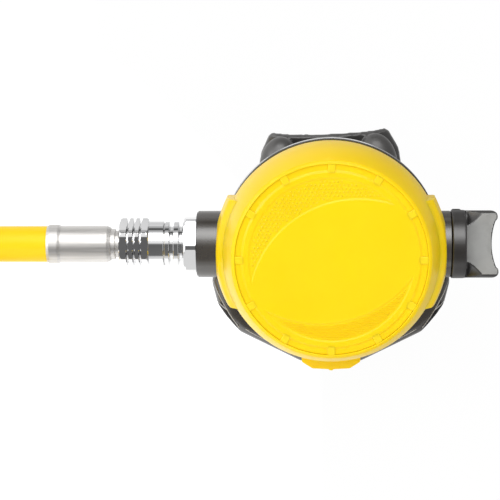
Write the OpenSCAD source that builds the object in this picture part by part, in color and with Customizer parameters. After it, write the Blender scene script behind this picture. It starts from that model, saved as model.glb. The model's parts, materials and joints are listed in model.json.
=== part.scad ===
// Second stage of a scuba regulator with its low-pressure hose.
// It lies face up on its mouthpiece and exhaust deflector.
// Local frame: X runs along the valve barrel, towards the vane knob. Z is the cover's normal.

/* [Stance] */
// Tilt of the cover from level, in degrees
tilt = 20; // [17:0.5:23]
// Height of the valve barrel's axis above the table
axis_h = 40; // [39:0.5:41]

/* [Cover] */
// Widest radius of the cover
cover_r = 37.5; // [36:0.1:40]
// Height of the cover's face above the barrel's axis
face_w = 25; // [24.5:0.1:27]
// Width of the cover's rim, from its widest edge in to the slots
rim_width = 5.55; // [5:0.05:7]
// Wall of the cover's skirt
skirt_wall = 3.9; // [3:0.1:4.5]
// Width of the ring of slots round the purge plate
slot_w = 1.95; // [1.5:0.05:2.2]
// Width of each bridge across the slots
bridge_w = 2.3; // [1.5:0.1:4]
// Number of bridges
bridge_n = 12; // [6:1:16]
// How far the side lugs stand out of the cover
lug_out = 2.1; // [1:0.1:3]
// Length of each side lug
lug_l = 36.8; // [34:0.2:42]
// Width of the tab at the bottom of the cover
tab_w = 20; // [14:0.5:24]
// Depth of the relief on the purge plate
relief_d = 0.4; // [0.2:0.05:0.7]
// Travel of the purge plate
purge_travel = 3; // [1.5:0.1:3]

/* [Case] */
// How far the case's rim stands out of the cover
case_out = 0.1; // [0:0.1:0.9]
// Wall of the case
case_wall = 2.2; // [1.8:0.1:2.6]
// Depth of the case behind the barrel's axis
case_depth = 20; // [19:0.5:21]
// Outer radius of the two side bosses
boss_r = 11.4; // [11:0.1:12]
// How far the inlet boss stands out of the cover
inlet_out = 8.2; // [6:0.1:10]
// How far the knob boss stands out of the cover
knob_out = 3; // [2.5:0.1:5]

/* [Valve] */
// Outer radius of the valve barrel
tube_r = 6.8; // [6.4:0.1:7.4]
// Bore radius of the valve barrel
tube_bore = 5.2; // [5:0.05:5.5]
// Radius of the poppet's stem
stem_r = 1.4; // [1.1:0.1:1.8]
// Wire of the poppet's spring
spring_wire = 0.8; // [0.5:0.05:1]
// Turns of the poppet's spring
spring_n = 6; // [4:1:7]
// Width of the demand lever
lever_w = 5; // [3:0.5:6]

/* [Inlet] */
// Size across the flats of the inlet fitting
fitting_af = 18.2; // [16:0.1:20]
// Length of the ringed part of the inlet fitting
fitting_rings_l = 6.5; // [6:0.1:8]
// Length of the inlet fitting's hexagon
fitting_hex_l = 4.3; // [3:0.1:5]
// Size across the flats of the swivel nut
nut_af = 15.875; // [15.8:0.025:17.5]
// Length of the swivel nut's hexagon
nut_hex_l = 10.2; // [8:0.1:12]
// Radius of the swivel nut's plain skirt
nut_skirt_r = 7.87; // [7.8:0.01:8.4]
// Radius of the thread inside the swivel nut
inlet_thread_r = 7.14; // [6.8:0.02:7.2]

/* [Knob] */
// Radius of the knob's base
knob_r = 11.7; // [11:0.1:12.5]
// Length of the knob's base
knob_base_l = 4.9; // [4:0.1:7]
// Length of the knob's paddle
paddle_l = 11; // [9:0.1:13]
// Thickness of the knob's paddle
paddle_t = 9; // [6:0.5:11]
// Radius of the knob's shaft
shaft_r = 5; // [4:0.1:6]

/* [Mouthpiece] */
// Lean of the mouthpiece from the cover's axis, in degrees
mouth_lean = 20; // [18:1:22]
// Turn of the mouthpiece about its own axis, in degrees
mouth_twist = 2.5; // [-3:0.5:3]
// Width of the breathing channel
channel_w = 30; // [27:0.5:31]
// Height of the breathing channel
channel_h = 15; // [13:0.5:16]
// Width of the lip guard
guard_w = 51; // [46:0.5:56]
// Height of the lip guard
guard_h = 36; // [32:0.5:38]
// Thickness of the lip guard
guard_t = 2.4; // [1.6:0.1:3]
// Length of the bite tabs
bite_l = 16; // [14:0.5:18]

/* [Exhaust] */
// Radius of the exhaust valve
flap_r = 10.5; // [9:0.1:11]
// Wall of the exhaust deflector
defl_wall = 2.2; // [1.6:0.1:2.6]

/* [Hose] */
// Outer diameter of the hose
hose_d = 12.3; // [11.9:0.1:12.3]
// Length of each ferrule
ferrule_l = 22.4; // [18:0.1:26]
// Radius of the thread for the first stage
port_thread_r = 4.76; // [4.5:0.01:5]
// Length of the thread for the first stage
port_thread_l = 8; // [6:0.5:10]
// Size across the flats of the first stage fitting
port_af = 14.3; // [13:0.1:14.4]

/* [Hidden] */

gap = 0.3;             // between pieces that move apart
fit = 0.05;            // running clearance on a radius
cover_y = -1.2;        // the cover's axis, from the barrel's axis
big = 400;

// the cover
widest_w = 6;
skirt_w = 0.6;
lip_t = 1.8;
lip_r = cover_r - rim_width;
plate_r = lip_r - slot_w;
shoulder_in = 4.3;
shoulder_r = cover_r - shoulder_in;
shoulder_w = face_w - 0.7;
side_rise = shoulder_w - widest_w;
side_arc = (side_rise * side_rise + shoulder_in * shoulder_in) / (2 * shoulder_in);
seam = 0.2;
flange_t = 1;
flange_r = lip_r + 1.2;
flange_w = face_w - lip_t - gap;
lug_low = 1.2;
lug_top = 8;
lug_meet = 18.5;
lug_turn = asin(lug_l / 2 / (cover_r - 4));
tab_out = 3.4;
tab_top = 8;

// the case and its collar, which carries the diaphragm
rim_r = cover_r + case_out;
case_r = rim_r + 0.7;  // the case and its deflector are set out from this
collar_r = cover_r - skirt_wall - gap;
knuckle_r = 12;
knuckle_at = case_r - 1.3 - knuckle_r;
knuckle_w = knuckle_r + 0.5 - case_depth;
case_flat = 18;
inlet_reach = cover_r + inlet_out;
knob_reach = cover_r + knob_out;
boss_from = collar_r - 4.8;

// the diaphragm stack
rim_w = 0.3;
seat_w = 13;
bead_t = 1.6;
clamp_t = 2;
clamp_w = 6.3;
fold_h = 1.6;
skin_t = 0.8;
disc_r = 12;
disc_t = 1;
disc_w = seat_w + 1.2;
boss_low = disc_w + disc_t + gap;

// the valve
tube_left = 2.1 - inlet_reach;
tube_right = 18;
cap_t = 2;
orifice_left = -30;
orifice_right = -18;
head_r = 3.6;
head_l = 5;
poppet_left = orifice_right + 0.3;
head_right = poppet_left + head_l;
stop_x = 2;
poppet_travel = purge_travel / 2;
pivot_x = 9.5;
pivot_w = 7.9;
lever_t = 0.9;
tip_x = -8.5;
tip_w = disc_w - gap - lever_t / 2;
nut_x = pivot_x + 1;
nut_t = 2.2;
window_half = 3.3;

// the inlet
hex_left = -inlet_reach - fitting_hex_l;
fitting_left = hex_left - fitting_rings_l;
nut_right = fitting_left - 0.3;
nut_left = nut_right - 5 - nut_hex_l;
hex_right = nut_left + nut_hex_l;
ferrule_right = nut_left - 2.4;
ferrule_left = ferrule_right - ferrule_l;
hose_r = hose_d / 2;
neck_r = 4.6;
barb_r = 3;
hose_bore = 2.2;
thread_in = fitting_left - 7.3;

// the knob and vane
knob_left = knob_reach + gap;
paddle_left = knob_left + knob_base_l;
knob_right = paddle_left + paddle_l;
knob_rest = 10;
end_r = 24;
end_in = 2;
end_round = 1.6;
scoop_r = 6;
scoop_up = 2.9;
scoop_tilt = 25;
scoop_off = sqrt(pow(scoop_r / cos(scoop_tilt), 2) - scoop_up * scoop_up);
scoop_turn = 14;
scoop_y = 5.4;
vane_left = tube_right + 0.5;
vane_disc = boss_from - 2.1;
vane_r = 9.6;
vane_t = 1.4;

// the mouthpiece
mouth_y = 11.3;
mouth_w = 8 - case_depth;
spigot_wall = 2;
spigot_end = -17;
boot_top = -9.5;
guard_z = -23;
guard_bend = 42;
boot_wall = 4.2;
boot_out_w = channel_w + 2 * (spigot_wall + boot_wall);
boot_out_h = channel_h + 2 * (spigot_wall + boot_wall);
boot_groove = 3.4;
tie_z = -14.8;
tie_h = 3.6;
tie_t = 1.2;

// the exhaust
flap_y = -23;
flap_w = -case_depth;
flap_t = 0.9;
defl_top = -8;
defl_back = -6.5 - case_depth;
defl_edge = 4.5;
// the deflector's outline, as [distance from the barrel's middle, angle below its axis]
defl_front = [[case_r + 1.1, 21], [case_r + 2.3, 29.5], [case_r + 3.2, 36.2],
    [case_r + 2.45, 44.2], [case_r + 1.2, 76.7]];
defl_rear = [[case_r - 5, 24], [case_r + 3.4, 37.5], [case_r - 3.2, 76]];
port_from = case_r - 1;
port_lip = case_r + 6.4;
port_angle = 38;
port_top = -8.5;
port_low = -21.5;
port_l = 11;

// the hose's route, from the near ferrule to the top of the coil
table_r = hose_r + 0.1;
route = [[-104, 0, 40], [-111, 0, 40], [-118, 0, 40], [-130, 0, 39.4], [-143, 0, 37.8],
    [-156, 0, 35.7], [-168, 0, 34.1], [-178, 0, 33.3]];
coil_x = -188.2;
coil_r = 63.5;
coil_turns = 2;
coil_layer = hose_d + 0.7;
port_flat = port_af / 2;
far_z = port_flat + 0.1;
far_lead = 14;
far_x = coil_x - far_lead;
coil_top = far_z + coil_turns * coil_layer;
coil_drop = far_z + coil_layer - table_r;
coil_lead = 3;         // a straight start, in line with the free hose

// the origin lies under the middle of the second stage, without the free hose
origin_x = -(knob_right + ferrule_left) / 2;
origin_y = -1.52;

// ---------- helpers ----------

// puts a piece of the local frame on the table
module stand() {
    translate([origin_x, origin_y, axis_h]) rotate([tilt, 0, 0]) children();
}

// puts a piece of the hose on the table
module lay() {
    translate([origin_x, origin_y, 0]) children();
}

// a turned piece on the barrel's axis, from [radius, x] points
module turned(points) {
    rotate([0, 90, 0]) rotate_extrude($fn = 96) polygon(points);
}

// a turned piece on the cover's axis, from [radius, height] points
module dished(points) {
    translate([0, cover_y, 0]) rotate_extrude($fn = 128) polygon(points);
}

// a plain cylinder on the barrel's axis
module rod(r, from, to) {
    translate([from, 0, 0]) rotate([0, 90, 0]) cylinder(r = r, h = to - from, $fn = 96);
}

// an O-ring on the barrel's axis
module o_ring(r, wire, x) {
    translate([x, 0, 0]) rotate([0, 90, 0]) rotate_extrude($fn = 96)
        translate([r, 0]) circle(r = wire, $fn = 24);
}

// a flat oval with round ends
module oval(w, h) {
    square([w - h, h], center = true);
    for (side = [-1, 1]) translate([side * (w - h) / 2, 0]) circle(d = h, $fn = 64);
}

// the frame of the mouthpiece: it leaves towards -Z
module mouth_frame() {
    translate([0, mouth_y, mouth_w]) rotate([mouth_lean, 0, 0])
        rotate([0, 0, mouth_twist]) children();
}

function arc(cx, cy, r, a0, a1, n) =
    [for (i = [0 : n]) let (a = a0 + (a1 - a0) * i / n) [cx + r * cos(a), cy + r * sin(a)]];

function unit(v) = v / norm(v);

// length of a path of points
function sum_steps(p, i = 1) = i == len(p) ? 0 : norm(p[i] - p[i - 1]) + sum_steps(p, i + 1);

// directions along a path of points
function heading(p, i) =
    unit((i == len(p) - 1 ? p[i] : p[i + 1]) - (i == 0 ? p[i] : p[i - 1]));

// points of a round tube along a path, with one corner pointing up
function tube_points(p, r, sides) = [for (i = [0 : len(p) - 1])
    let (t = heading(p, i), side = unit(cross(t, [0, 0, 1])), up = cross(side, t))
    for (k = [0 : sides - 1]) let (a = 90 + 360 * k / sides)
        p[i] + r * (cos(a) * side + sin(a) * up)];

function tube_faces(rings, sides) = concat(
    [for (i = [0 : rings - 2]) for (k = [0 : sides - 1])
        let (a = i * sides + k, b = i * sides + (k + 1) % sides) [a, b, b + sides]],
    [for (i = [0 : rings - 2]) for (k = [0 : sides - 1])
        let (a = i * sides + k, b = i * sides + (k + 1) % sides) [a, b + sides, a + sides]],
    [for (k = [1 : sides - 2]) [0, k + 1, k]],
    [for (k = [1 : sides - 2]) let (e = (rings - 1) * sides) [e, e + k, e + k + 1]]);

module tube(path, r, sides) {
    polyhedron(tube_points(path, r, sides), tube_faces(len(path), sides), convexity = 8);
}

// ---------- cover and diaphragm ----------

// outline of the cover's outside, from the skirt up to the face
function cover_side() = concat(
    [[cover_r - 0.5, skirt_w]],
    arc(cover_r - side_arc, widest_w, side_arc, 0, asin(side_rise / side_arc), 8),
    [[shoulder_r - 0.7, face_w]]);

// a side lug blends into the cover's shoulder, and its ends are cut square
module lug_sector(dir) {
    out = cover_r + lug_out;
    translate([0, cover_y, 0]) rotate([0, 0, dir]) intersection() {
        rotate([0, 0, -lug_turn]) rotate_extrude(angle = 2 * lug_turn, $fn = 128)
            polygon([[cover_r - 2, lug_low], [out - 0.5, lug_low], [out, lug_low + 0.6],
                [out, lug_top], [out - 0.9, lug_top + 4.5], [out - 2.5, lug_meet - 4],
                [cover_r - 3, lug_meet], [cover_r - 3.6, lug_meet - 1]]);
        translate([0, -lug_l / 2, 0]) cube([big, lug_l, face_w]);
    }
}

module cover_tab() {
    tip = tab_w / 2 - 3.6;
    translate([0, cover_y - cover_r, skirt_w]) linear_extrude(tab_top - skirt_w)
        polygon([[-tab_w / 2, 2.2], [-tab_w / 2, 0.9 - tab_out / 2], [-tip, 0.3 - tab_out],
            [-0.9, -tab_out], [-0.6, -tab_out - 0.4], [0.6, -tab_out - 0.4], [0.9, -tab_out],
            [tip, 0.3 - tab_out], [tab_w / 2, 0.9 - tab_out / 2], [tab_w / 2, 2.2]]);
}

module cover_ring() {
    inner = collar_r + gap;
    color("gold") stand() difference() {
        union() {
            dished(concat(cover_side(), [[lip_r, face_w], [lip_r, face_w - lip_t],
                [flange_r + gap, face_w - lip_t - 0.2], [flange_r + gap, seat_w + bead_t + clamp_t + gap],
                [inner, seat_w + bead_t + clamp_t + gap], [inner, skirt_w]]));
            for (dir = [0, 180]) lug_sector(dir);
            cover_tab();
        }
        rod(boss_r + gap, -big / 2, big / 2);
        dished([[0, -1], [inner, -1], [inner, seat_w + bead_t], [0, seat_w + bead_t]]);
    }
}

// the relief: two sunk crescents that leave a plain band between plain arcs
module relief() {
    difference() {
        circle(r = plate_r - 2.2, $fn = 96);
        translate([9, -16]) circle(r = 36, $fn = 96);
    }
    difference() {
        circle(r = plate_r - 2.2, $fn = 96);
        translate([-4, 17]) circle(r = 38, $fn = 96);
    }
}

module purge_plate() {
    color("gold") stand() difference() {
        union() {
            dished([[0, face_w - lip_t - gap - flange_t], [flange_r, flange_w - flange_t],
                [flange_r, flange_w], [plate_r, flange_w], [plate_r, face_w - 0.3],
                [plate_r - 0.3, face_w], [0, face_w]]);
            dished([[0, boss_low], [6, boss_low], [6.6, flange_w - flange_t + 0.2],
                [0, flange_w - flange_t + 0.2]]);
            for (i = [0 : bridge_n - 1]) translate([0, cover_y, 0])
                rotate([0, 0, 360 * i / bridge_n])
                    translate([plate_r - 1, -bridge_w / 2, flange_w - 0.2])
                        cube([slot_w + 1 - seam, bridge_w, lip_t + gap + 0.1]);
        }
        translate([0, cover_y, face_w - relief_d]) linear_extrude(relief_d + 1) relief();
    }
}

module diaphragm_ring() {
    inner = collar_r - clamp_w;
    color("dimgray") stand() dished([[inner, seat_w + bead_t], [collar_r, seat_w + bead_t],
        [collar_r, seat_w + bead_t + clamp_t], [inner + 1, seat_w + bead_t + clamp_t]]);
}

module diaphragm() {
    hole = disc_r + gap;
    fold = disc_r + 4;
    fall = collar_r - 8.3;
    ramp = (fall - fold) / 3;
    bead_in = collar_r - 2.7;
    color("darkslategray") stand() dished([[hole, disc_w], [fold, disc_w],
        [fold + ramp, disc_w + fold_h], [fall - ramp, disc_w + fold_h], [fall, seat_w + 0.4],
        [fall + 1.5, seat_w], [collar_r - 0.2, seat_w], [collar_r - 0.2, seat_w + bead_t],
        [bead_in, seat_w + bead_t], [bead_in, seat_w + skin_t], [fall + 0.4, seat_w + skin_t],
        [fall - ramp + 0.3, disc_w + fold_h + skin_t],
        [fold + ramp - 0.3, disc_w + fold_h + skin_t],
        [fold - 0.3, disc_w + skin_t], [hole, disc_w + skin_t]]);
}

module diaphragm_disc() {
    color("silver") stand() dished([[0, disc_w], [disc_r, disc_w],
        [disc_r, disc_w + disc_t - 0.3], [disc_r - 0.3, disc_w + disc_t], [0, disc_w + disc_t]]);
}

// ---------- case ----------

// outline of the case's outside, with an allowance for what fits round it
function case_outside(more = 0) = concat([[collar_r, seat_w], [collar_r, rim_w],
    [rim_r - 0.3 + more, rim_w], [rim_r - 0.3 + more, rim_w - 0.8],
    [rim_r - 0.5 + more, rim_w - 1.1], [rim_r + more, rim_w - 1.5],
    [rim_r + more, rim_w - 2.8 - more / 2],
    [case_r - 1.3 + more, rim_w - 4.2 - more / 2]],
    arc(knuckle_at, knuckle_w, knuckle_r + more, 0, -68, 6),
    [[case_flat, -case_depth - more], [0, -case_depth - more]]);

module case_room() {
    dished(concat([[0, seat_w]], case_outside(gap)));
}

function case_inside() = concat([[0, case_wall - case_depth], [case_flat, case_wall - case_depth]],
    arc(knuckle_at - case_wall, knuckle_w, knuckle_r - case_wall + 0.6, -68, 0, 6),
    [[collar_r - case_wall, -4], [collar_r - case_wall, seat_w]]);

module exhaust_spokes() {
    for (a = [0, 60, 120]) rotate([0, 0, a])
        translate([1 - flap_r, -0.9, flap_w]) cube([2 * flap_r - 2, 1.8, case_wall]);
    translate([0, 0, flap_w]) cylinder(r = 3, h = case_wall, $fn = 48);
}

module case_body() {
    color("black") stand() difference() {
        union() {
            difference() {
                union() {
                    dished(concat(case_outside(), case_inside()));
                    translate([0, flap_y, flap_w]) cylinder(r = flap_r + 1.5, h = 6.5, $fn = 64);
                }
                translate([0, flap_y, flap_w - 1]) cylinder(r = flap_r - 1.5, h = 20, $fn = 64);
            }
            translate([0, flap_y, 0]) exhaust_spokes();
            difference() {
                union() {
                    rod(boss_r - 0.5, -inlet_reach, -boss_from);
                    rod(boss_r, 0.5 - inlet_reach, -boss_from);
                    rod(boss_r, boss_from, knob_reach);
                }
                dished([[0, -8], [collar_r - case_wall, -8], [collar_r - case_wall, seat_w],
                    [0, seat_w]]);
            }
            difference() {
                mouth_frame() translate([0, 0, spigot_end]) linear_extrude(14)
                    oval(channel_w + 2 * spigot_wall, channel_h + 2 * spigot_wall);
                dished(concat([[0, seat_w]], case_inside()));
            }
        }
        mouth_frame() translate([0, 0, spigot_end - 1]) linear_extrude(20)
            oval(channel_w, channel_h);
        rod(tube_r + fit, -big / 2, 0);
        rod(shaft_r + fit, 0, big / 2);
    }
}

// ---------- valve ----------

module valve_tube() {
    color("silver") stand() difference() {
        rod(tube_r, tube_left, tube_right);
        rod(tube_bore, tube_left - 1, tube_right + 1);
        translate([pivot_x - 2.4, -window_half, 0]) cube([6.4, 2 * window_half, 10]);
        translate([-6, 0, 0]) rotate([90 + mouth_lean, 0, 0]) translate([0, 0, -10])
            cylinder(r = 2.4, h = 10, $fn = 48);
    }
}

module tube_cap() {
    color("dimgray") stand() turned([[0, tube_right - 1.4], [tube_bore - fit, tube_right - 1.4],
        [tube_bore - fit, tube_right], [tube_r, tube_right],
        [tube_r, tube_right + cap_t - 0.4], [tube_r - 0.4, tube_right + cap_t],
        [0, tube_right + cap_t]]);
}

module orifice_seat() {
    r = tube_bore - fit;
    color("goldenrod") stand() turned([[1.6, orifice_left], [r, orifice_left],
        [r, orifice_left + 6], [3.4, orifice_left + 6.6], [3.4, orifice_right - 1.6],
        [2.2, orifice_right], [1.6, orifice_right]]);
}

module poppet_seat() {
    color("darkslategray") stand() rod(head_r - 0.5, poppet_left, poppet_left + 1.2);
}

module poppet() {
    color("ivory") stand() turned([[0, poppet_left + 1.2], [head_r - 0.5, poppet_left + 1.2],
        [head_r - 0.5, poppet_left + 0.2], [head_r, poppet_left + 0.2],
        [head_r, head_right], [stem_r, head_right],
        [stem_r, nut_x + nut_t + 1.2], [0, nut_x + nut_t + 1.2]]);
}

module poppet_spring() {
    mean = stem_r + gap + spring_wire / 2 + 0.5;
    from = head_right + spring_wire / 2 + poppet_travel + gap;
    to = stop_x - spring_wire / 2;
    steps = 8 * spring_n;
    path = [for (i = [0 : steps]) let (a = 45 * i)
        [from + (to - from) * i / steps, mean * cos(a), mean * sin(a)]];
    color("silver") stand() spring_tube(path, spring_wire / 2);
    // the washer that the spring pushes on, held by the barrel's step
    washer_r = tube_bore - fit;
    color("silver") stand() turned([[stem_r + gap, stop_x - 0.1], [washer_r, stop_x - 0.1],
        [washer_r, stop_x + 0.9], [stem_r + gap, stop_x + 0.9]]);
}

// a wire wound on the barrel's axis
module spring_tube(path, r) {
    sides = 6;
    points = [for (i = [0 : len(path) - 1])
        let (t = heading(path, i), out = unit([0, path[i][1], path[i][2]]),
            up = unit(cross(t, out)), side = cross(up, t))
        for (k = [0 : sides - 1]) let (a = 360 * k / sides)
            path[i] + r * (cos(a) * up + sin(a) * side)];
    polyhedron(points, tube_faces(len(path), sides), convexity = 8);
}

module lever() {
    color("silver") stand() {
        // the arm, bent from one strip
        translate([0, lever_w / 2, 0]) rotate([90, 0, 0]) linear_extrude(lever_w)
            polygon([[pivot_x + 0.9, pivot_w - lever_t / 2], [pivot_x + 0.9, pivot_w + lever_t / 2],
                [pivot_x - 2.2, pivot_w + lever_t / 2], [tip_x + 3, tip_w + lever_t / 2],
                [tip_x, tip_w + lever_t / 2], [tip_x - 1.5, tip_w - 0.5],
                [tip_x - 1.1, tip_w - 1.1], [tip_x + 0.2, tip_w - lever_t / 2],
                [tip_x + 2.8, tip_w - lever_t / 2], [pivot_x - 2.4, pivot_w - lever_t / 2]]);
        // the two feet that straddle the poppet's stem
        for (side = [-1, 1]) translate([pivot_x, side * (stem_r + gap + 0.6) - 0.6, -1.4])
            cube([0.9, 1.2, pivot_w + 1.4]);
    }
}

module lever_nut() {
    color("goldenrod") stand() difference() {
        translate([nut_x + 0.2, 0, 0]) rotate([0, 90, 0]) cylinder(d = 6.4, h = nut_t, $fn = 6);
        rod(stem_r, nut_x, nut_x + nut_t + 1);
    }
}

// ---------- inlet ----------

module inlet_fitting() {
    stub_r = tube_bore - fit;
    ring_r = nut_skirt_r - 0.1;
    groove_r = 6.1;
    right = -inlet_reach;
    color("lightgray") stand() difference() {
        union() {
            translate([hex_left, 0, 0]) rotate([0, 90, 0]) rotate([0, 0, -2.8])
                intersection() {
                    cylinder(d = fitting_af / cos(30), h = fitting_hex_l, $fn = 6);
                    translate([0, 0, -0.01]) cylinder(r1 = fitting_af / 2 + 0.35,
                        r2 = fitting_af / 2 + 5, h = 5, $fn = 96);
                }
            turned([[0, thread_in], [inlet_thread_r - 0.6, thread_in],
                [inlet_thread_r - fit, thread_in + 0.7], [inlet_thread_r - fit, fitting_left],
                [ring_r, fitting_left], [ring_r, fitting_left + 1.5],
                [groove_r, fitting_left + 1.8], [groove_r, fitting_left + 2.7],
                [ring_r, fitting_left + 3], [ring_r, hex_left - 1.8],
                [groove_r, hex_left - 1.5], [groove_r, hex_left - 0.7],
                [ring_r - 0.2, hex_left - 0.5], [ring_r - 0.2, hex_left],
                [ring_r - 0.2, right], [stub_r, right], [stub_r, right + 8],
                [stub_r - 0.9, right + 8.2], [stub_r - 0.9, right + 10],
                [stub_r, right + 10.2], [stub_r, orifice_left - 0.2],
                [0, orifice_left - 0.2]]);
        }
        rod(2.6, thread_in - 1, orifice_left + 1);
        rod(neck_r + 0.1, thread_in - 1, thread_in + 4);
    }
}

module inlet_oring() {
    color("black") stand() o_ring(tube_bore - 0.45, 0.44, 9.1 - inlet_reach);
}

module swivel_nut() {
    corner = nut_af / 2 / cos(30);
    groove_r = nut_af / 2 - 0.6;
    groove_step = 0.21 * nut_hex_l;
    color("lightgray") stand() difference() {
        union() {
            rotate([0, 90, 0]) rotate([0, 0, 29]) intersection() {
                translate([0, 0, nut_left]) cylinder(r = corner, h = nut_hex_l, $fn = 6);
                rotate_extrude($fn = 96) polygon([[0, nut_left], [corner - 0.9, nut_left],
                    [corner + 0.1, nut_left + 1], [corner + 0.1, hex_right - 1.6],
                    [nut_skirt_r - 0.2, hex_right], [0, hex_right]]);
            }
            rod(nut_skirt_r, hex_right - 0.5, nut_right);
        }
        // grooves that leave four ribs
        for (i = [-1 : 1]) let (x = nut_left + nut_hex_l / 2 + i * groove_step)
            turned([[groove_r, x - 0.35], [corner + 1, x - 1.1], [corner + 1, x + 1.1],
                [groove_r, x + 0.35]]);
        turned([[0, nut_left - 1], [neck_r + fit, nut_left - 1], [neck_r + fit, nut_left + 2.6],
            [neck_r + 1.6, nut_left + 4], [neck_r + 1.6, thread_in - 0.2],
            [inlet_thread_r, thread_in - 0.2], [inlet_thread_r, nut_right + 1],
            [0, nut_right + 1]]);
    }
}

module hose_stem() {
    color("silver") stand() difference() {
        turned([[0, ferrule_left + 3], [barb_r - 0.4, ferrule_left + 3],
            [barb_r, ferrule_left + 4], [barb_r, ferrule_right - 1 + fit],
            [neck_r + 0.6, ferrule_right - 1 + fit], [neck_r + 0.6, ferrule_right + 0.7],
            [neck_r, ferrule_right + 0.9], [neck_r, nut_left + 2.7],
            [neck_r + 1.4, nut_left + 4.1], [neck_r + 1.4, thread_in - 0.3],
            [neck_r, thread_in - 0.3], [neck_r, thread_in + 0.6], [neck_r - 0.9, thread_in + 0.7],
            [neck_r - 0.9, thread_in + 2.3], [neck_r, thread_in + 2.4],
            [neck_r, thread_in + 3.6], [0, thread_in + 3.6]]);
        rod(hose_bore, ferrule_left, thread_in + 5);
    }
}

module stem_oring() {
    color("black") stand() o_ring(neck_r - 0.4, 0.44, thread_in + 1.5);
}

// outline of a crimped ferrule that opens at x = 0 and closes at x = ferrule_l
function ferrule_points() = [[barb_r + fit, 0], [hose_r + 0.25, 0], [hose_r + 0.45, 0.3],
    [hose_r + 0.45, 4.3], [hose_r + 0.05, 4.7], [hose_r + 0.05, ferrule_l - 1.6],
    [hose_r - 0.3, ferrule_l - 0.7], [hose_r - 1, ferrule_l - 0.1], [hose_r - 1.2, ferrule_l],
    [neck_r + 0.6 + fit, ferrule_l], [neck_r + 0.6 + fit, ferrule_l - 1],
    [barb_r + fit, ferrule_l - 1]];

module near_ferrule() {
    color("tan") stand() translate([ferrule_left, 0, 0]) turned(ferrule_points());
}

// ---------- vane and knob ----------

module vane() {
    color("dimgray") stand() {
        turned([[0, vane_disc], [vane_r, vane_disc], [vane_r, vane_disc + 1.6],
            [shaft_r, vane_disc + 1.6], [shaft_r, knob_reach - 6], [shaft_r - 0.9, knob_reach - 6],
            [shaft_r - 0.9, knob_reach - 4.3], [shaft_r, knob_reach - 4.3],
            [shaft_r, knob_left + 3], [0, knob_left + 3]]);
        rotate([0, 90, 0]) rotate([0, 0, 10]) rotate_extrude(angle = 70, $fn = 96)
            translate([vane_r - vane_t, vane_left]) square([vane_t, vane_disc - vane_left + 0.5]);
    }
}

module vane_oring() {
    color("black") stand() o_ring(shaft_r - 0.4, 0.44, knob_reach - 5.15);
}

// outline of the paddle's upper half, from its root to the middle of its hollowed end
function paddle_half(w) = concat([[paddle_left - 1, w]],
    arc(knob_right - end_round, w - end_round, end_round, 90, -25, 5),
    [for (y = [w - 3.6, w - 6, w - 8.5, 0]) [knob_right + end_r - end_in - sqrt(end_r * end_r - y * y), y]]);

module paddle_slab() {
    half = paddle_half(knob_r - 0.2);
    count = len(half);
    translate([0, 0, -paddle_t / 2]) linear_extrude(paddle_t)
        polygon(concat(half, [for (i = [count - 2 : -1 : 0]) [half[i][0], -half[i][1]]]));
}

module vane_knob() {
    color("dimgray") stand() rotate([-knob_rest, 0, 0]) difference() {
        union() {
            turned([[0, knob_left], [knob_r - 0.4, knob_left], [knob_r, knob_left + 0.4],
                [knob_r, paddle_left - 0.5], [knob_r - 0.5, paddle_left], [0, paddle_left]]);
            // a small mark that shows the knob's turn
            translate([knob_left + 0.4, knob_r - 0.5, -0.8]) cube([3, 0.85, 1.6]);
            difference() {
                intersection() {
                    rod(knob_r - 0.1, paddle_left - 1, knob_right + 1);
                    paddle_slab();
                }
                // scoops at the root of the paddle, on both faces
                for (side = [-1, 1], face = [-1, 1])
                    translate([paddle_left, side * scoop_y, face * (paddle_t / 2 + scoop_up)])
                        rotate([0, 0, side * scoop_turn]) translate([0, side * scoop_off, 0])
                            rotate([0, 90 - face * scoop_tilt, 0])
                                cylinder(r = scoop_r, h = 30, center = true, $fn = 64);
            }
        }
        rod(shaft_r + fit, knob_left - 1, knob_left + 3);
    }
}

// ---------- exhaust ----------

module exhaust_valve() {
    color("darkslategray") stand() translate([0, flap_y, 0]) {
        translate([0, 0, flap_w]) rotate_extrude($fn = 64) polygon([[0, -1.6], [2.4, -1.6],
            [4, -flap_t - 0.1], [flap_r, -flap_t + 0.1], [flap_r + 0.3, -0.1], [flap_r, -0.02],
            [0, -0.02]]);
    }
}

module defl_body(r) {
    hull() for (side = [-1, 1]) {
        for (at = defl_front) translate([side * at[0] * cos(at[1]), -at[0] * sin(at[1]), defl_top])
            sphere(r = r, $fn = 28);
        for (at = defl_rear) translate([side * at[0] * cos(at[1]), -at[0] * sin(at[1]), defl_back])
            sphere(r = r, $fn = 28);
    }
}

module exhaust_deflector() {
    color("black") intersection() {
        stand() difference() {
            defl_body(defl_edge);
            defl_body(defl_edge - defl_wall);
            // it fits round the case
            case_room();
            dished([[0, 0], [case_r + gap, 0], [case_r + gap, seat_w], [0, seat_w]]);
            // the two side ports
            for (side = [-1, 1]) rotate([0, 0, side > 0 ? -port_angle : 180 + port_angle]) {
                translate([port_from, -port_l / 2, port_low])
                    cube([20, port_l, port_top - port_low]);
                translate([port_lip, -port_l / 2, port_low]) cube([20, port_l, -port_low]);
            }
            // room for the mouthpiece's boot
            mouth_frame() translate([0, 0, -big]) linear_extrude(big)
                oval(boot_out_w + 7.6, boot_out_h + 6.6);
        }
        translate([-big / 2, -big / 2, 0]) cube(big);
    }
}

// ---------- mouthpiece ----------

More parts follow.
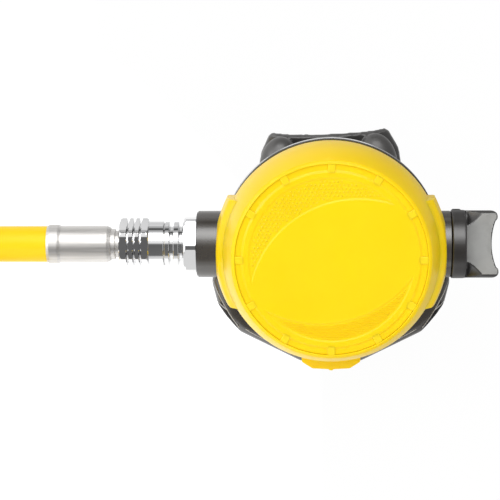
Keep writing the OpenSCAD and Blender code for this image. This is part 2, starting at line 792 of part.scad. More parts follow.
function guard_outline() = let (w = guard_w / 2, h = guard_h / 2)
    concat(arc(w - 6.6, h - 5.9, 3, 15, 100, 4), [[8, h - 2.1], [0, h - 1.9], [-8, h - 2.1]],
        arc(6.6 - w, h - 5.9, 3, 80, 165, 4), [[-w + 0.8, 6], [-w, 0]],
        arc(9 - w, 8.5 - h, 8.5, 190, 265, 5), [[-6, -h + 1.2], [0, -h + 3], [6, -h + 1.2]],
        arc(w - 9, 8.5 - h, 8.5, 275, 350, 5), [[w, 0], [w - 0.8, 6]]);

module mouthpiece() {
    color("black") intersection() {
        stand() difference() {
            mouth_frame() mouth_solid();
            // the boot's root follows the back of the case
            case_room();
        }
        translate([-big / 2, -big / 2, 0]) cube(big);
    }
}

// the mouthpiece in its own frame
module mouth_solid() {
    difference() {
        union() {
            // the boot, which grips the case's spigot
            hull() {
                translate([0, 0, boot_top - 1]) linear_extrude(1) oval(boot_out_w, boot_out_h);
                translate([0, 0, guard_z + 1]) linear_extrude(1)
                    oval(boot_out_w - 8, boot_out_h - 7);
            }
            // the lip guard, bent round the teeth
            intersection() {
                translate([0, 0, -big]) linear_extrude(big) polygon(guard_outline());
                translate([0, 0, guard_z - guard_bend]) rotate([90, 0, 0]) difference() {
                    cylinder(r = guard_bend + guard_t / 2, h = 80, center = true, $fn = 96);
                    cylinder(r = guard_bend - guard_t / 2, h = 82, center = true, $fn = 96);
                }
            }
            for (side = [-1, 1]) bite_tab(side);
        }
        translate([0, 0, spigot_end]) linear_extrude(20)
            oval(channel_w + 2 * (spigot_wall + fit), channel_h + 2 * (spigot_wall + fit));
        translate([0, 0, -big]) linear_extrude(big) oval(channel_w - 2, channel_h - 1);
        // the groove for the tie
        translate([0, 0, tie_z - tie_h / 2 - gap]) linear_extrude(tie_h + 2 * gap)
            difference() {
                oval(90, 60);
                oval(boot_out_w - boot_groove, boot_out_h - boot_groove);
            }
    }
}

// a tab between the teeth, with an upright ridge behind them
module bite_tab(side) {
    from = guard_z - 1.5;
    hull() {
        translate([side * 20.3, 0, from]) cube([9, 3, 3], center = true);
        translate([side * 21.3, 0, from - bite_l + 3]) cube([8, 3, 3], center = true);
    }
    hull() {
        translate([side * 17.4, 0, from - 6]) cube([2.2, 8, 2], center = true);
        translate([side * 18.6, 0, from - bite_l + 3]) cube([2.2, 10, 5], center = true);
    }
}

module tie_wrap() {
    out_w = boot_out_w - boot_groove;
    out_h = boot_out_h - boot_groove;
    color("dimgray") stand() mouth_frame() difference() {
        union() {
            translate([0, 0, tie_z - tie_h / 2]) linear_extrude(tie_h)
                oval(out_w + 2 * tie_t, out_h + 2 * tie_t);
            translate([-3, -out_h / 2 - 4, tie_z - tie_h / 2]) cube([6, 4.6, tie_h]);
        }
        translate([0, 0, tie_z - 10]) linear_extrude(20) oval(out_w + 2 * fit, out_h + 2 * fit);
    }
}

// ---------- hose ----------

module hose_free() {
    color("gold") lay() tube(concat([[ferrule_left, 0, axis_h]], route,
        [[coil_x + coil_lead + 3, 0, coil_top], coil_path[0]]), hose_r, 10);
}

// a smooth step from 0 to 1 between two angles
function step(a, from, to) = (1 - cos(180 * max(0, min(1, (a - from) / (to - from))))) / 2;

// two turns, one lying on the other: each settles on what is under it in its first half
coil_path = concat([[coil_x + coil_lead, 0, coil_top]], [for (a = [0 : 15 : 360 * coil_turns])
    [coil_x - coil_r * sin(a), coil_r * (cos(a) - 1),
        coil_top - coil_layer * step(a, 15, 195)
            - coil_drop * step(a, 375, 555) + (far_z - table_r) * step(a, 660, 720)]],
    [[far_x, 0, far_z]]);

// least gap between stretches of the coil that are more than half a turn apart
coil_gap = min([for (i = [0 : len(coil_path) - 1]) for (j = [i + 13 : 1 : len(coil_path) - 1])
    norm(coil_path[i] - coil_path[j])]) - hose_d;
// length of the hose, from the near ferrule's mouth to the far one's
hose_path = concat([[ferrule_left, 0, axis_h]], route, coil_path);
hose_l = sum_steps(hose_path);
echo(coil_gap = coil_gap, hose_l = hose_l);

module hose_coil() {
    color("gold") lay() tube(coil_path, hose_r, 6);
}

module far_ferrule() {
    color("tan") lay() translate([far_x, 0, far_z]) mirror([1, 0, 0])
        turned(ferrule_points());
}

module far_fitting() {
    hex_from = ferrule_l + 2.4;
    hex_to = hex_from + 8;
    color("lightgray") lay() translate([far_x, 0, far_z]) mirror([1, 0, 0]) difference() {
        union() {
            turned([[0, 3], [barb_r - 0.4, 3], [barb_r, 4], [barb_r, ferrule_l - 1 + fit],
                [neck_r + 0.6, ferrule_l - 1 + fit], [neck_r + 0.6, ferrule_l + 0.7],
                [neck_r, ferrule_l + 0.9], [neck_r, hex_from + 1], [0, hex_from + 1]]);
            translate([hex_from, 0, 0]) rotate([0, 90, 0]) rotate([0, 0, 30])
                cylinder(d = port_af / cos(30), h = 8, $fn = 6);
            turned([[0, hex_to - 1], [port_thread_r - 0.9, hex_to - 1],
                [port_thread_r - 0.9, hex_to + 1.8], [port_thread_r, hex_to + 1.9],
                [port_thread_r, hex_to + 1.9 + port_thread_l],
                [port_thread_r - 0.6, hex_to + 2.5 + port_thread_l],
                [0, hex_to + 2.5 + port_thread_l]]);
        }
        rod(hose_bore, 0, hex_to + 20);
    }
}

module far_oring() {
    color("black") lay() translate([far_x, 0, far_z]) mirror([1, 0, 0])
        o_ring(port_thread_r - 0.05, 0.85, ferrule_l + 2.4 + 8 + 0.9);
}

cover_ring();
purge_plate();
diaphragm_ring();
diaphragm();
diaphragm_disc();
case_body();
valve_tube();
tube_cap();
orifice_seat();
poppet();
poppet_seat();
poppet_spring();
lever();
lever_nut();
inlet_fitting();
inlet_oring();
swivel_nut();
hose_stem();
stem_oring();
near_ferrule();
vane();
vane_knob();
vane_oring();
exhaust_valve();
exhaust_deflector();
mouthpiece();
tie_wrap();
hose_free();
hose_coil();
far_ferrule();
far_fitting();
far_oring();
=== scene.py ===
import json
import math

import bmesh
import bpy
from mathutils import Matrix, Vector
from mathutils.geometry import delaunay_2d_cdt
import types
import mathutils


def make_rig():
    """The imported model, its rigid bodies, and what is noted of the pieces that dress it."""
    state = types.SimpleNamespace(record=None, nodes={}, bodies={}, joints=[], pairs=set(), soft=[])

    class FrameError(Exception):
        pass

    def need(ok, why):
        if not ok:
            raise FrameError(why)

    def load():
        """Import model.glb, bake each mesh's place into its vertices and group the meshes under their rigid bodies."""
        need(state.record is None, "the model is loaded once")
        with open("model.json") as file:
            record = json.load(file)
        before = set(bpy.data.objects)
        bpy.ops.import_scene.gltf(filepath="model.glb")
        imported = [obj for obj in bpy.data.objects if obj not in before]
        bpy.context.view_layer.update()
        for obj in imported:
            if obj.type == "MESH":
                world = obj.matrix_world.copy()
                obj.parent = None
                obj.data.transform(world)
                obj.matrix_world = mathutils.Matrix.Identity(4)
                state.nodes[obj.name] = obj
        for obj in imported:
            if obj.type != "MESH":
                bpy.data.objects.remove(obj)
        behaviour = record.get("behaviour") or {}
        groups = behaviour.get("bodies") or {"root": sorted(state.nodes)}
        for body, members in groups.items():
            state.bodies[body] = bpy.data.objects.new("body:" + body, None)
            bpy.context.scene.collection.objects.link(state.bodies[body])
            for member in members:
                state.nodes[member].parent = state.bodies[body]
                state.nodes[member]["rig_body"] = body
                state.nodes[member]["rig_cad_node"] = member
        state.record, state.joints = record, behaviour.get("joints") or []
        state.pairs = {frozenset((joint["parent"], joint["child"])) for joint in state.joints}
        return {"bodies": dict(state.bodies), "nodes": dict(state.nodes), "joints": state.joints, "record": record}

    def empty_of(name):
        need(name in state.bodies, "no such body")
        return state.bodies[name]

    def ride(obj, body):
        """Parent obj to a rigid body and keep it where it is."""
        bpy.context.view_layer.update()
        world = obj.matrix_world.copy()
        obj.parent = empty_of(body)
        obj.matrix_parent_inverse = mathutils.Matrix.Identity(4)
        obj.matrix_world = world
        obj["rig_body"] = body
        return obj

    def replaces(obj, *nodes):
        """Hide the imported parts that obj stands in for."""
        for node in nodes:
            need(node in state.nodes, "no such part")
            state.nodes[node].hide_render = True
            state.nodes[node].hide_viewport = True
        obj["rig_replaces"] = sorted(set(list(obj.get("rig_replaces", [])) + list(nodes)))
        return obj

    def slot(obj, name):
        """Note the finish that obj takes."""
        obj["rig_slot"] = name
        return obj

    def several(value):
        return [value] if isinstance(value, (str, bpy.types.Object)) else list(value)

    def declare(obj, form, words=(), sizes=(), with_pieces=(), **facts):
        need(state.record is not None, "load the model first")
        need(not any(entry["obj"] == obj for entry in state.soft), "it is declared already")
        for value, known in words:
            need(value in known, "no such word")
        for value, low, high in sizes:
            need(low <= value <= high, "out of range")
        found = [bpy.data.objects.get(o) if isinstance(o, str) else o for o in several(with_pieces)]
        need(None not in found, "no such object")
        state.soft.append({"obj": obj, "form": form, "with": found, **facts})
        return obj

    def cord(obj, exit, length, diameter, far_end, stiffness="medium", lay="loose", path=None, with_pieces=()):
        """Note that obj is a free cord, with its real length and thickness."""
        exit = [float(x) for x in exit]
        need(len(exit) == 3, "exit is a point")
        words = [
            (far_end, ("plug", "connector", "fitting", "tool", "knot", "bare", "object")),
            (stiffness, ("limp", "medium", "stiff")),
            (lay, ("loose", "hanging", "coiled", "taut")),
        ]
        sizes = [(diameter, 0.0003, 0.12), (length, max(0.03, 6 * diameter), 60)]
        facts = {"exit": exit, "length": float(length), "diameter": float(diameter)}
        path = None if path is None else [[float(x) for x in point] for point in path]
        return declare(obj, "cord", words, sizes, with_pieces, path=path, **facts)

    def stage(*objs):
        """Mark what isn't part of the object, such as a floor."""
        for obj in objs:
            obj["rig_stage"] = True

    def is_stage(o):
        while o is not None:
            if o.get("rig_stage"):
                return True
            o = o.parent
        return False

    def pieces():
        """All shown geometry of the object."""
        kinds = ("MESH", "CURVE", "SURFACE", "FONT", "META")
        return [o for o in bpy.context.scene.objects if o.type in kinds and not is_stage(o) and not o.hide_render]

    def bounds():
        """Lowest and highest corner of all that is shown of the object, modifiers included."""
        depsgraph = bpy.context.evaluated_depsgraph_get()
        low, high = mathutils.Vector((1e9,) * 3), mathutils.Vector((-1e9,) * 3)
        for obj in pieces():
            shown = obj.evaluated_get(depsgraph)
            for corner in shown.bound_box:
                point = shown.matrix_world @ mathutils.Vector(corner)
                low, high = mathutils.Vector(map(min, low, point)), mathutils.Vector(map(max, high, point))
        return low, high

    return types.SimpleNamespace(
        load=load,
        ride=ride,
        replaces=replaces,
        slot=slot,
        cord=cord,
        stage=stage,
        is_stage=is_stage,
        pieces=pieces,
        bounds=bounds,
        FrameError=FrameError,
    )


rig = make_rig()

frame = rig.load()
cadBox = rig.bounds()
nodes = frame["nodes"]
scene = bpy.context.scene
print("frame loaded")

# The second stage is drawn in its own frame, in millimetres: x along the valve barrel, y up the
# cover, z out of the cover's face. onTable puts that frame on the table, in metres.
stance = {"originX": 20.05, "originY": -1.52, "axisHeight": 40.0, "tilt": 20.0, "coverY": -1.2}
onFloor = Matrix.Scale(0.001, 4) @ Matrix.Translation((stance["originX"], stance["originY"], 0))
onTable = (
    onFloor
    @ Matrix.Translation((0, 0, stance["axisHeight"]))
    @ Matrix.Rotation(math.radians(stance["tilt"]), 4, "X")
)
onCover = onTable @ Matrix.Translation((0, stance["coverY"], 0))
alongX = Matrix.Rotation(math.radians(90), 4, "Y")  # a turned piece's z becomes x

# ---- camera ----
cameraSetup = {
    "lens": 136.8, "distance": 650.0, "lean": 10.0, "aimX": -4.8, "aimUp": -2.05, "shift": -0.134,
}


def addCamera():
    lean = math.radians(cameraSetup["lean"])
    back = Vector((0, -math.sin(lean), math.cos(lean)))
    up = Vector((0, math.cos(lean), math.sin(lean)))
    aim = onFloor @ Vector((cameraSetup["aimX"], 0, stance["axisHeight"]))
    aim += up * cameraSetup["aimUp"] * 0.001
    data = bpy.data.cameras.new("camera")
    data.lens, data.sensor_width = cameraSetup["lens"], 36
    data.shift_x = cameraSetup["shift"]
    data.clip_start, data.clip_end = 0.05, 20
    cam = bpy.data.objects.new("camera", data)
    scene.collection.objects.link(cam)
    turn = Matrix((up.cross(back), up, back)).transposed().to_4x4()
    cam.matrix_world = Matrix.Translation(aim + back * cameraSetup["distance"] * 0.001) @ turn
    scene.camera = cam


addCamera()

# ---- node helpers ----


def addNode(tree, kind, inputs=None, **settings):
    node = tree.nodes.new(kind)
    for key, value in settings.items():
        setattr(node, key, value)
    for key, value in (inputs or {}).items():
        if isinstance(value, bpy.types.NodeSocket):
            tree.links.new(value, node.inputs[key])
        else:
            node.inputs[key].default_value = value
    return node


def ramp(tree, factor, stops):
    node = addNode(tree, "ShaderNodeValToRGB", {"Fac": factor})
    for spot, (place, colour) in enumerate(stops):
        marks = node.color_ramp.elements
        mark = marks[spot] if spot < 2 else marks.new(place)
        mark.position, mark.color = place, (*colour, 1)
    return node.outputs["Color"]


def mixColours(tree, factor, a, b):
    return addNode(tree, "ShaderNodeMix", {0: factor, 6: a, 7: b}, data_type="RGBA").outputs[2]


def noise(tree, where, scale, detail=3.0, roughness=0.5):
    inputs = {"Vector": where, "Scale": scale, "Detail": detail, "Roughness": roughness}
    return addNode(tree, "ShaderNodeTexNoise", inputs).outputs["Fac"]


def remap(tree, value, low, high, to0, to1):
    inputs = {"Value": value, "From Min": low, "From Max": high, "To Min": to0, "To Max": to1}
    return addNode(tree, "ShaderNodeMapRange", inputs).outputs["Result"]


def newMaterial(name, look):
    # colours: two shades that drift into each other; rough: range of the roughness;
    # grain: scale and depth of the fine bump; edge: amount and colour of rubbed edges
    mat = bpy.data.materials.new(name)
    mat.use_nodes = True
    tree = mat.node_tree
    bsdf = tree.nodes["Principled BSDF"]
    for key, value in look["shader"].items():
        bsdf.inputs[key].default_value = value
    place = addNode(tree, "ShaderNodeTexCoord").outputs[look.get("coords", "Object")]
    mapping = {"Vector": place, "Scale": look.get("stretch", (1, 1, 1))}
    where = addNode(tree, "ShaderNodeMapping", mapping).outputs["Vector"]
    drift = noise(tree, where, look.get("driftScale", 60))
    colour = ramp(tree, drift, [(0.35, look["colours"][0]), (0.65, look["colours"][1])])
    if "edge" in look:
        amount, tone = look["edge"]
        worn = addNode(tree, "ShaderNodeNewGeometry").outputs["Pointiness"]
        colour = mixColours(tree, remap(tree, worn, 0.52, 0.6, 0, amount), colour, (*tone, 1))
    tree.links.new(colour, bsdf.inputs["Base Color"])
    smudge = noise(tree, where, look.get("smudge", 90), 4.0, 0.55)
    tree.links.new(remap(tree, smudge, 0.3, 0.7, *look["rough"]), bsdf.inputs["Roughness"])
    scale, depth = look["grain"]
    grain = noise(tree, where, scale, 4.0, 0.6)
    bump = {"Height": grain, "Distance": depth * 0.001, "Strength": 1.0}
    tree.links.new(addNode(tree, "ShaderNodeBump", bump).outputs["Normal"], bsdf.inputs["Normal"])
    return mat


finishes = {
    "yellowCover": {
        "colours": ((0.86, 0.585, 0.0005), (0.90, 0.615, 0.001)), "driftScale": 35,
        "rough": (0.28, 0.36), "grain": (3000, 0.005), "edge": (0.25, (0.95, 0.74, 0.05)),
        "shader": {
            "IOR": 1.4, "Specular IOR Level": 0.4, "Subsurface Weight": 0.3,
            "Subsurface Radius": (1.0, 0.7, 0.05), "Subsurface Scale": 0.0016,
        },
    },
    "yellowHose": {
        "colours": ((0.84, 0.57, 0.003), (0.89, 0.61, 0.006)), "coords": "UV", "driftScale": 45,
        "stretch": (1, 4, 1), "rough": (0.36, 0.48), "grain": (1800, 0.010),
        "shader": {"IOR": 1.4, "Specular IOR Level": 0.35},
    },
    "glossBlack": {
        "colours": ((0.031, 0.027, 0.023), (0.042, 0.037, 0.032)), "driftScale": 50,
        "rough": (0.2, 0.28), "grain": (1400, 0.003), "edge": (0.3, (0.10, 0.10, 0.10)),
        "shader": {"IOR": 1.85},
    },
    "satinBlack": {
        "colours": ((0.010, 0.009, 0.008), (0.015, 0.013, 0.012)), "driftScale": 70,
        "rough": (0.3, 0.38), "grain": (3500, 0.006), "edge": (0.3, (0.12, 0.12, 0.12)),
        "shader": {"IOR": 1.75},
    },
    "polishedEdge": {
        "colours": ((0.040, 0.038, 0.036), (0.055, 0.052, 0.050)), "driftScale": 90,
        "rough": (0.10, 0.18), "grain": (1400, 0.002), "shader": {"IOR": 2.2},
    },
    # pale grey painted highlight for the tee's creases, standing in for the glint along their ridge
    "creaseHighlightPaint": {
        "colours": ((0.34, 0.335, 0.33), (0.46, 0.455, 0.45)), "driftScale": 120,
        "rough": (0.2, 0.3), "grain": (1400, 0.002), "shader": {"IOR": 1.8},
    },
    # near black painted shade for the dark opening of the tee's ports
    "portShadePaint": {
        "colours": ((0.004, 0.0035, 0.003), (0.006, 0.005, 0.0045)), "driftScale": 90,
        "rough": (0.4, 0.5), "grain": (1400, 0.002), "shader": {"IOR": 1.35},
    },
    "knobFace": {
        "colours": ((0.25, 0.25, 0.242), (0.30, 0.30, 0.29)), "driftScale": 160,
        "rough": (0.55, 0.68), "grain": (4200, 0.03), "shader": {"IOR": 1.5},
    },
    "blackSilicone": {
        "colours": ((0.030, 0.029, 0.028), (0.045, 0.043, 0.041)), "rough": (0.32, 0.44),
        "grain": (2600, 0.012), "edge": (0.4, (0.14, 0.135, 0.13)),
        "shader": {"IOR": 1.45, "Specular IOR Level": 0.9, "Sheen Weight": 0.15},
    },
    "clearSilicone": {
        "colours": ((0.62, 0.61, 0.57), (0.70, 0.69, 0.65)), "rough": (0.3, 0.42),
        "grain": (1500, 0.01), "shader": {"IOR": 1.42, "Transmission Weight": 0.35},
    },
    "chrome": {
        "colours": ((0.62, 0.62, 0.63), (0.69, 0.69, 0.69)), "rough": (0.03, 0.07),
        "smudge": 220, "grain": (900, 0.0015), "shader": {"Metallic": 1.0},
    },
    "satinNickel": {
        "colours": ((0.56, 0.545, 0.525), (0.68, 0.665, 0.645)), "stretch": (1, 30, 30),
        "driftScale": 40, "smudge": 25, "rough": (0.44, 0.54), "grain": (45, 0.004),
        "shader": {"Metallic": 1.0},
    },
    "brass": {
        "colours": ((0.72, 0.50, 0.20), (0.80, 0.58, 0.26)), "rough": (0.2, 0.3),
        "grain": (1500, 0.004), "shader": {"Metallic": 1.0},
    },
    "springSteel": {
        "colours": ((0.52, 0.52, 0.52), (0.62, 0.62, 0.61)), "rough": (0.22, 0.34),
        "grain": (2200, 0.006), "shader": {"Metallic": 1.0},
    },
    "whiteAcetal": {
        "colours": ((0.72, 0.71, 0.66), (0.78, 0.77, 0.72)), "rough": (0.35, 0.45),
        "grain": (2500, 0.008), "shader": {"IOR": 1.48},
    },
    "blackSeal": {
        "colours": ((0.015, 0.015, 0.015), (0.022, 0.022, 0.022)), "rough": (0.4, 0.5),
        "grain": (2500, 0.006), "shader": {"IOR": 1.5},
    },
}
materials = {name: newMaterial(name, look) for name, look in finishes.items()}
print("materials made")

# ---- mesh helpers ----


def rounded(points, radius=0.3, steps=4, closed=False):
    # rounds the corners of a line of (a, b) or (a, b, radius) points, and puts a holding point
    # beside each arc so that the flats shade flat
    out, n = [], len(points)
    for i, point in enumerate(points):
        corner = Vector(point[:2])
        r = point[2] if len(point) > 2 else radius
        if not closed and i in (0, n - 1):
            out.append(tuple(corner))
            continue
        u, v = Vector(points[i - 1][:2]) - corner, Vector(points[(i + 1) % n][:2]) - corner
        roomU, roomV = u.length, v.length
        if min(roomU, roomV) < 1e-6:
            continue
        u.normalize()
        v.normalize()
        half = math.acos(max(-1, min(1, u.dot(v)))) / 2
        if r <= 0 or half > math.radians(89):
            out.append(tuple(corner))
            continue
        t = min(r / math.tan(half), 0.42 * roomU, 0.42 * roomV)
        r = t * math.tan(half)
        centre = corner + (u + v).normalized() * r / math.sin(half)
        hold = min(0.08, 0.05 * min(roomU, roomV))
        out.append(tuple(corner + u * (t + hold)))
        a, b = corner + u * t - centre, corner + v * t - centre
        sweep = a.angle_signed(b) if a.length else 0
        for s in range(steps + 1):
            turn = -sweep * s / steps
            c, d = math.cos(turn), math.sin(turn)
            out.append((centre.x + a.x * c - a.y * d, centre.y + a.x * d + a.y * c))
        out.append(tuple(corner + v * (t + hold)))
    return out


def polar(r, a, centre=(0, 0)):
    return centre[0] + r * math.cos(a), centre[1] + r * math.sin(a)


def arc(centre, r, a0, a1, count):
    turns = (math.radians(a0 + (a1 - a0) * i / count) for i in range(count + 1))
    return [polar(r, a, centre) for a in turns]


def newObject(name, mesh):
    obj = bpy.data.objects.new(name, mesh)
    scene.collection.objects.link(obj)
    return obj


def meshFrom(name, verts, faces, edges=()):
    mesh = bpy.data.meshes.new(name)
    mesh.from_pydata(*([tuple(part) for part in parts] for parts in (verts, edges, faces)))
    return mesh


def dress(obj, *names):
    # gives an object these finishes alone
    obj.data.materials.clear()
    for name in names:
        obj.data.materials.append(materials[name])
    return obj


def applyModifiers(obj):
    bpy.context.view_layer.update()
    graph = bpy.context.evaluated_depsgraph_get()
    mesh = bpy.data.meshes.new_from_object(obj.evaluated_get(graph))
    obj.modifiers.clear()
    obj.data = mesh
    return obj


def tidyMesh(mesh, merge=0.0008, outward=True):
    bm = bmesh.new()
    bm.from_mesh(mesh)
    bmesh.ops.remove_doubles(bm, verts=bm.verts, dist=merge)
    bmesh.ops.dissolve_degenerate(bm, dist=merge / 4, edges=bm.edges)
    if outward:
        bmesh.ops.recalc_face_normals(bm, faces=bm.faces)
    bm.to_mesh(mesh)
    bm.free()


def loftRings(rings, caps=True):
    # faces over rings of points that all have the same count
    n = len(rings[0])
    verts = [p for ring in rings for p in ring]
    faces = []
    for i in range(len(rings) - 1):
        for k in range(n):
            a, b = i * n + k, i * n + (k + 1) % n
            faces.append((a, b, b + n, a + n))
    if caps:
        faces.append(tuple(range(n))[::-1])
        faces.append(tuple(range((len(rings) - 1) * n, len(rings) * n)))
    return verts, faces


def finishPiece(obj, body, matrix, material=None, replaces=(), sharp=35, slot=None):
    # puts a piece's place in its mesh, smooths it and lets it ride on its body
    mesh = obj.data
    mesh.transform(matrix)
    mesh.update()
    mesh.polygons.foreach_set("use_smooth", [True] * len(mesh.polygons))
    if sharp:
        mesh.set_sharp_from_angle(angle=math.radians(sharp))
    if material:
        dress(obj, material)
    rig.ride(obj, body)
    if replaces:
        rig.replaces(obj, *replaces)
    if slot:
        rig.slot(obj, slot)
    return obj


def subtract(obj, cutter, operation="DIFFERENCE"):
    mod = obj.modifiers.new("cut", "BOOLEAN")
    mod.object, mod.operation, mod.solver = cutter, operation, "EXACT"
    applyModifiers(obj)
    bpy.data.objects.remove(cutter)
    return obj


def cutFlat(obj, point, normal):
    # cuts a piece on a plane, drops what lies beyond it and closes the cut
    bm = bmesh.new()
    bm.from_mesh(obj.data)
    every = bm.verts[:] + bm.edges[:] + bm.faces[:]
    bmesh.ops.bisect_plane(
        bm, geom=every, plane_co=point, plane_no=normal, clear_outer=True, dist=1e-5
    )
    bmesh.ops.holes_fill(bm, edges=[e for e in bm.edges if e.is_boundary], sides=0)
    bmesh.ops.recalc_face_normals(bm, faces=bm.faces)
    bm.to_mesh(obj.data)
    bm.free()


def softenEdges(obj, width, angle):
    mod = obj.modifiers.new("soften", "BEVEL")
    mod.width, mod.segments, mod.limit_method = width, 3, "ANGLE"
    mod.angle_limit = math.radians(angle)
    return applyModifiers(obj)


# ---- geometry node trees ----


def newTree(name, sockets):
    tree = bpy.data.node_groups.new(name, "GeometryNodeTree")
    tree.interface.new_socket("Geometry", in_out="INPUT", socket_type="NodeSocketGeometry")
    for label, kind, default in sockets:
        socket = tree.interface.new_socket(label, in_out="INPUT", socket_type=f"NodeSocket{kind}")
        socket.default_value = default
    tree.interface.new_socket("Material", in_out="INPUT", socket_type="NodeSocketMaterial")
    tree.interface.new_socket("Geometry", in_out="OUTPUT", socket_type="NodeSocketGeometry")
    return tree, tree.nodes.new("NodeGroupInput").outputs


def endTree(tree, geometry, source):
    real = addNode(tree, "GeometryNodeRealizeInstances", {"Geometry": geometry})
    finish = {"Geometry": real.outputs[0], "Material": source["Material"]}
    done = addNode(tree, "GeometryNodeSetMaterial", finish)
    out = tree.nodes.new("NodeGroupOutput")
    tree.links.new(done.outputs[0], out.inputs[0])
    return tree


def runTree(obj, tree, values, material):
    mod = obj.modifiers.new(tree.name, "NODES")
    mod.node_group = tree
    given = {**values, "Material": materials[material]}
    for item in tree.interface.items_tree:
        if item.in_out == "INPUT" and item.name in given:
            mod[item.identifier] = given[item.name]
    return applyModifiers(obj)


def maths(tree, operation, a, b=0.0):
    return addNode(tree, "ShaderNodeMath", {0: a, 1: b}, operation=operation).outputs[0]


def combine(tree, **parts):
    return addNode(tree, "ShaderNodeCombineXYZ", parts).outputs[0]


def split(tree, vector):
    return addNode(tree, "ShaderNodeSeparateXYZ", {0: vector}).outputs


def position(tree):
    return tree.nodes.new("GeometryNodeInputPosition").outputs[0]


def copiesOn(tree, points, piece, **how):
    inputs = {"Points": points, "Instance": piece, **how}
    return addNode(tree, "GeometryNodeInstanceOnPoints", inputs).outputs[0]


def makeTurnedTree():
    # a profile of edges, drawn in x and -y, is swept round the z axis
    tree, source = newTree("turnedPart", [("Segments", "Int", 128), ("Core", "Float", 1.0)])
    core = {"Resolution": source["Segments"], "Radius": source["Core"]}
    path = addNode(tree, "GeometryNodeCurvePrimitiveCircle", core)
    profile = addNode(tree, "GeometryNodeMeshToCurve", {"Mesh": source["Geometry"]})
    sweep = {"Curve": path.outputs["Curve"], "Profile Curve": profile.outputs["Curve"]}
    swept = addNode(tree, "GeometryNodeCurveToMesh", sweep).outputs["Mesh"]
    merge = {"Geometry": swept, "Distance": 0.0005}
    merged = addNode(tree, "GeometryNodeMergeByDistance", merge)
    return endTree(tree, merged.outputs["Geometry"], source)


def makeRingTree():
    # copies of a piece round the z axis
    tree, source = newTree("ringOfCopies", [("Count", "Int", 12), ("Start", "Float", 0.0)])
    line = addNode(tree, "GeometryNodeMeshLine", {"Count": source["Count"], "Offset": (0, 0, 0)})
    index = tree.nodes.new("GeometryNodeInputIndex").outputs[0]
    step = maths(tree, "DIVIDE", 2 * math.pi, source["Count"])
    turn = maths(tree, "MULTIPLY_ADD", index, step)
    tree.links.new(source["Start"], turn.node.inputs[2])
    copies = copiesOn(tree, line.outputs[0], source["Geometry"], Rotation=combine(tree, Z=turn))
    return endTree(tree, copies, source)


crescentInputs = [
    ("Outer Radius", "Float", 27.0), ("Cut Radius", "Float", 36.0),
    ("Cut X", "Float", 0.0), ("Cut Y", "Float", 0.0),
]


def keepCrescent(tree, source, geometry):
    # drops the points outside a crescent: inside one circle and outside another
    here = position(tree)
    far = addNode(tree, "ShaderNodeVectorMath", {0: here}, operation="LENGTH").outputs["Value"]
    middle = combine(tree, X=source["Cut X"], Y=source["Cut Y"])
    gap = addNode(tree, "ShaderNodeVectorMath", {0: here, 1: middle}, operation="DISTANCE")
    beyond = maths(tree, "GREATER_THAN", far, source["Outer Radius"])
    within = maths(tree, "LESS_THAN", gap.outputs["Value"], source["Cut Radius"])
    outside = addNode(tree, "FunctionNodeBooleanMath", {0: beyond, 1: within}, operation="OR")
    drop = {"Geometry": geometry, "Selection": outside.outputs[0]}
    return addNode(tree, "GeometryNodeDeleteGeometry", drop, domain="POINT").outputs[0]


def makeStudTree():
    # a staggered field of studs inside a crescent
    sockets = [("Pitch", "Float", 1.1), ("Rows", "Int", 50), ("Seed", "Int", 4)]
    tree, source = newTree("studField", sockets + crescentInputs)
    pitch, rows = source["Pitch"], source["Rows"]
    wide = maths(tree, "MULTIPLY", pitch, maths(tree, "SUBTRACT", rows, 1.0))
    tall = maths(tree, "MULTIPLY", wide, 0.866)
    size = {"Size X": wide, "Size Y": tall, "Vertices X": rows, "Vertices Y": rows}
    grid = addNode(tree, "GeometryNodeMeshGrid", size)
    rowStep = maths(tree, "MULTIPLY", pitch, 0.866)
    height = maths(tree, "ADD", split(tree, position(tree))["Y"], tall)
    row = maths(tree, "ROUND", maths(tree, "DIVIDE", height, rowStep))
    half = maths(tree, "MULTIPLY", pitch, 0.5)
    shift = maths(tree, "MULTIPLY", maths(tree, "MODULO", row, 2.0), half)
    move = {"Geometry": grid.outputs["Mesh"], "Offset": combine(tree, X=shift)}
    moved = addNode(tree, "GeometryNodeSetPosition", move).outputs[0]
    kept = keepCrescent(tree, source, moved)
    spread = {2: 0.94, 3: 1.06, "Seed": source["Seed"]}
    scale = addNode(tree, "FunctionNodeRandomValue", spread, data_type="FLOAT").outputs[1]
    return endTree(tree, copiesOn(tree, kept, source["Geometry"], Scale=scale), source)


def makeRibTree():
    # fine ribs along x inside a crescent; the piece given is the ribs' cross-section
    sockets = [("Pitch", "Float", 1.0), ("Rows", "Int", 50), ("Half Length", "Float", 30.0)]
    tree, source = newTree("ribField", sockets + crescentInputs)
    half = source["Half Length"]
    tall = maths(tree, "MULTIPLY", source["Pitch"], source["Rows"])
    row = addNode(tree, "GeometryNodeMeshLine", {
        "Count": 201, "Start Location": combine(tree, X=maths(tree, "MULTIPLY", half, -1.0)),
        "Offset": combine(tree, X=maths(tree, "DIVIDE", half, 100.0)),
    })
    stack = addNode(tree, "GeometryNodeMeshLine", {
        "Count": source["Rows"], "Offset": combine(tree, Y=source["Pitch"]),
        "Start Location": combine(tree, Y=maths(tree, "MULTIPLY", tall, -0.5)),
    })
    lines = copiesOn(tree, stack.outputs[0], row.outputs[0])
    real = addNode(tree, "GeometryNodeRealizeInstances", {"Geometry": lines})
    kept = keepCrescent(tree, source, real.outputs[0])
    path = addNode(tree, "GeometryNodeMeshToCurve", {"Mesh": kept})
    section = addNode(tree, "GeometryNodeMeshToCurve", {"Mesh": source["Geometry"]})
    sweep = {"Curve": path.outputs[0], "Profile Curve": section.outputs[0], "Fill Caps": True}
    return endTree(tree, addNode(tree, "GeometryNodeCurveToMesh", sweep).outputs[0], source)


turnedTree, ringTree = makeTurnedTree(), makeRingTree()
studTree, ribTree = makeStudTree(), makeRibTree()


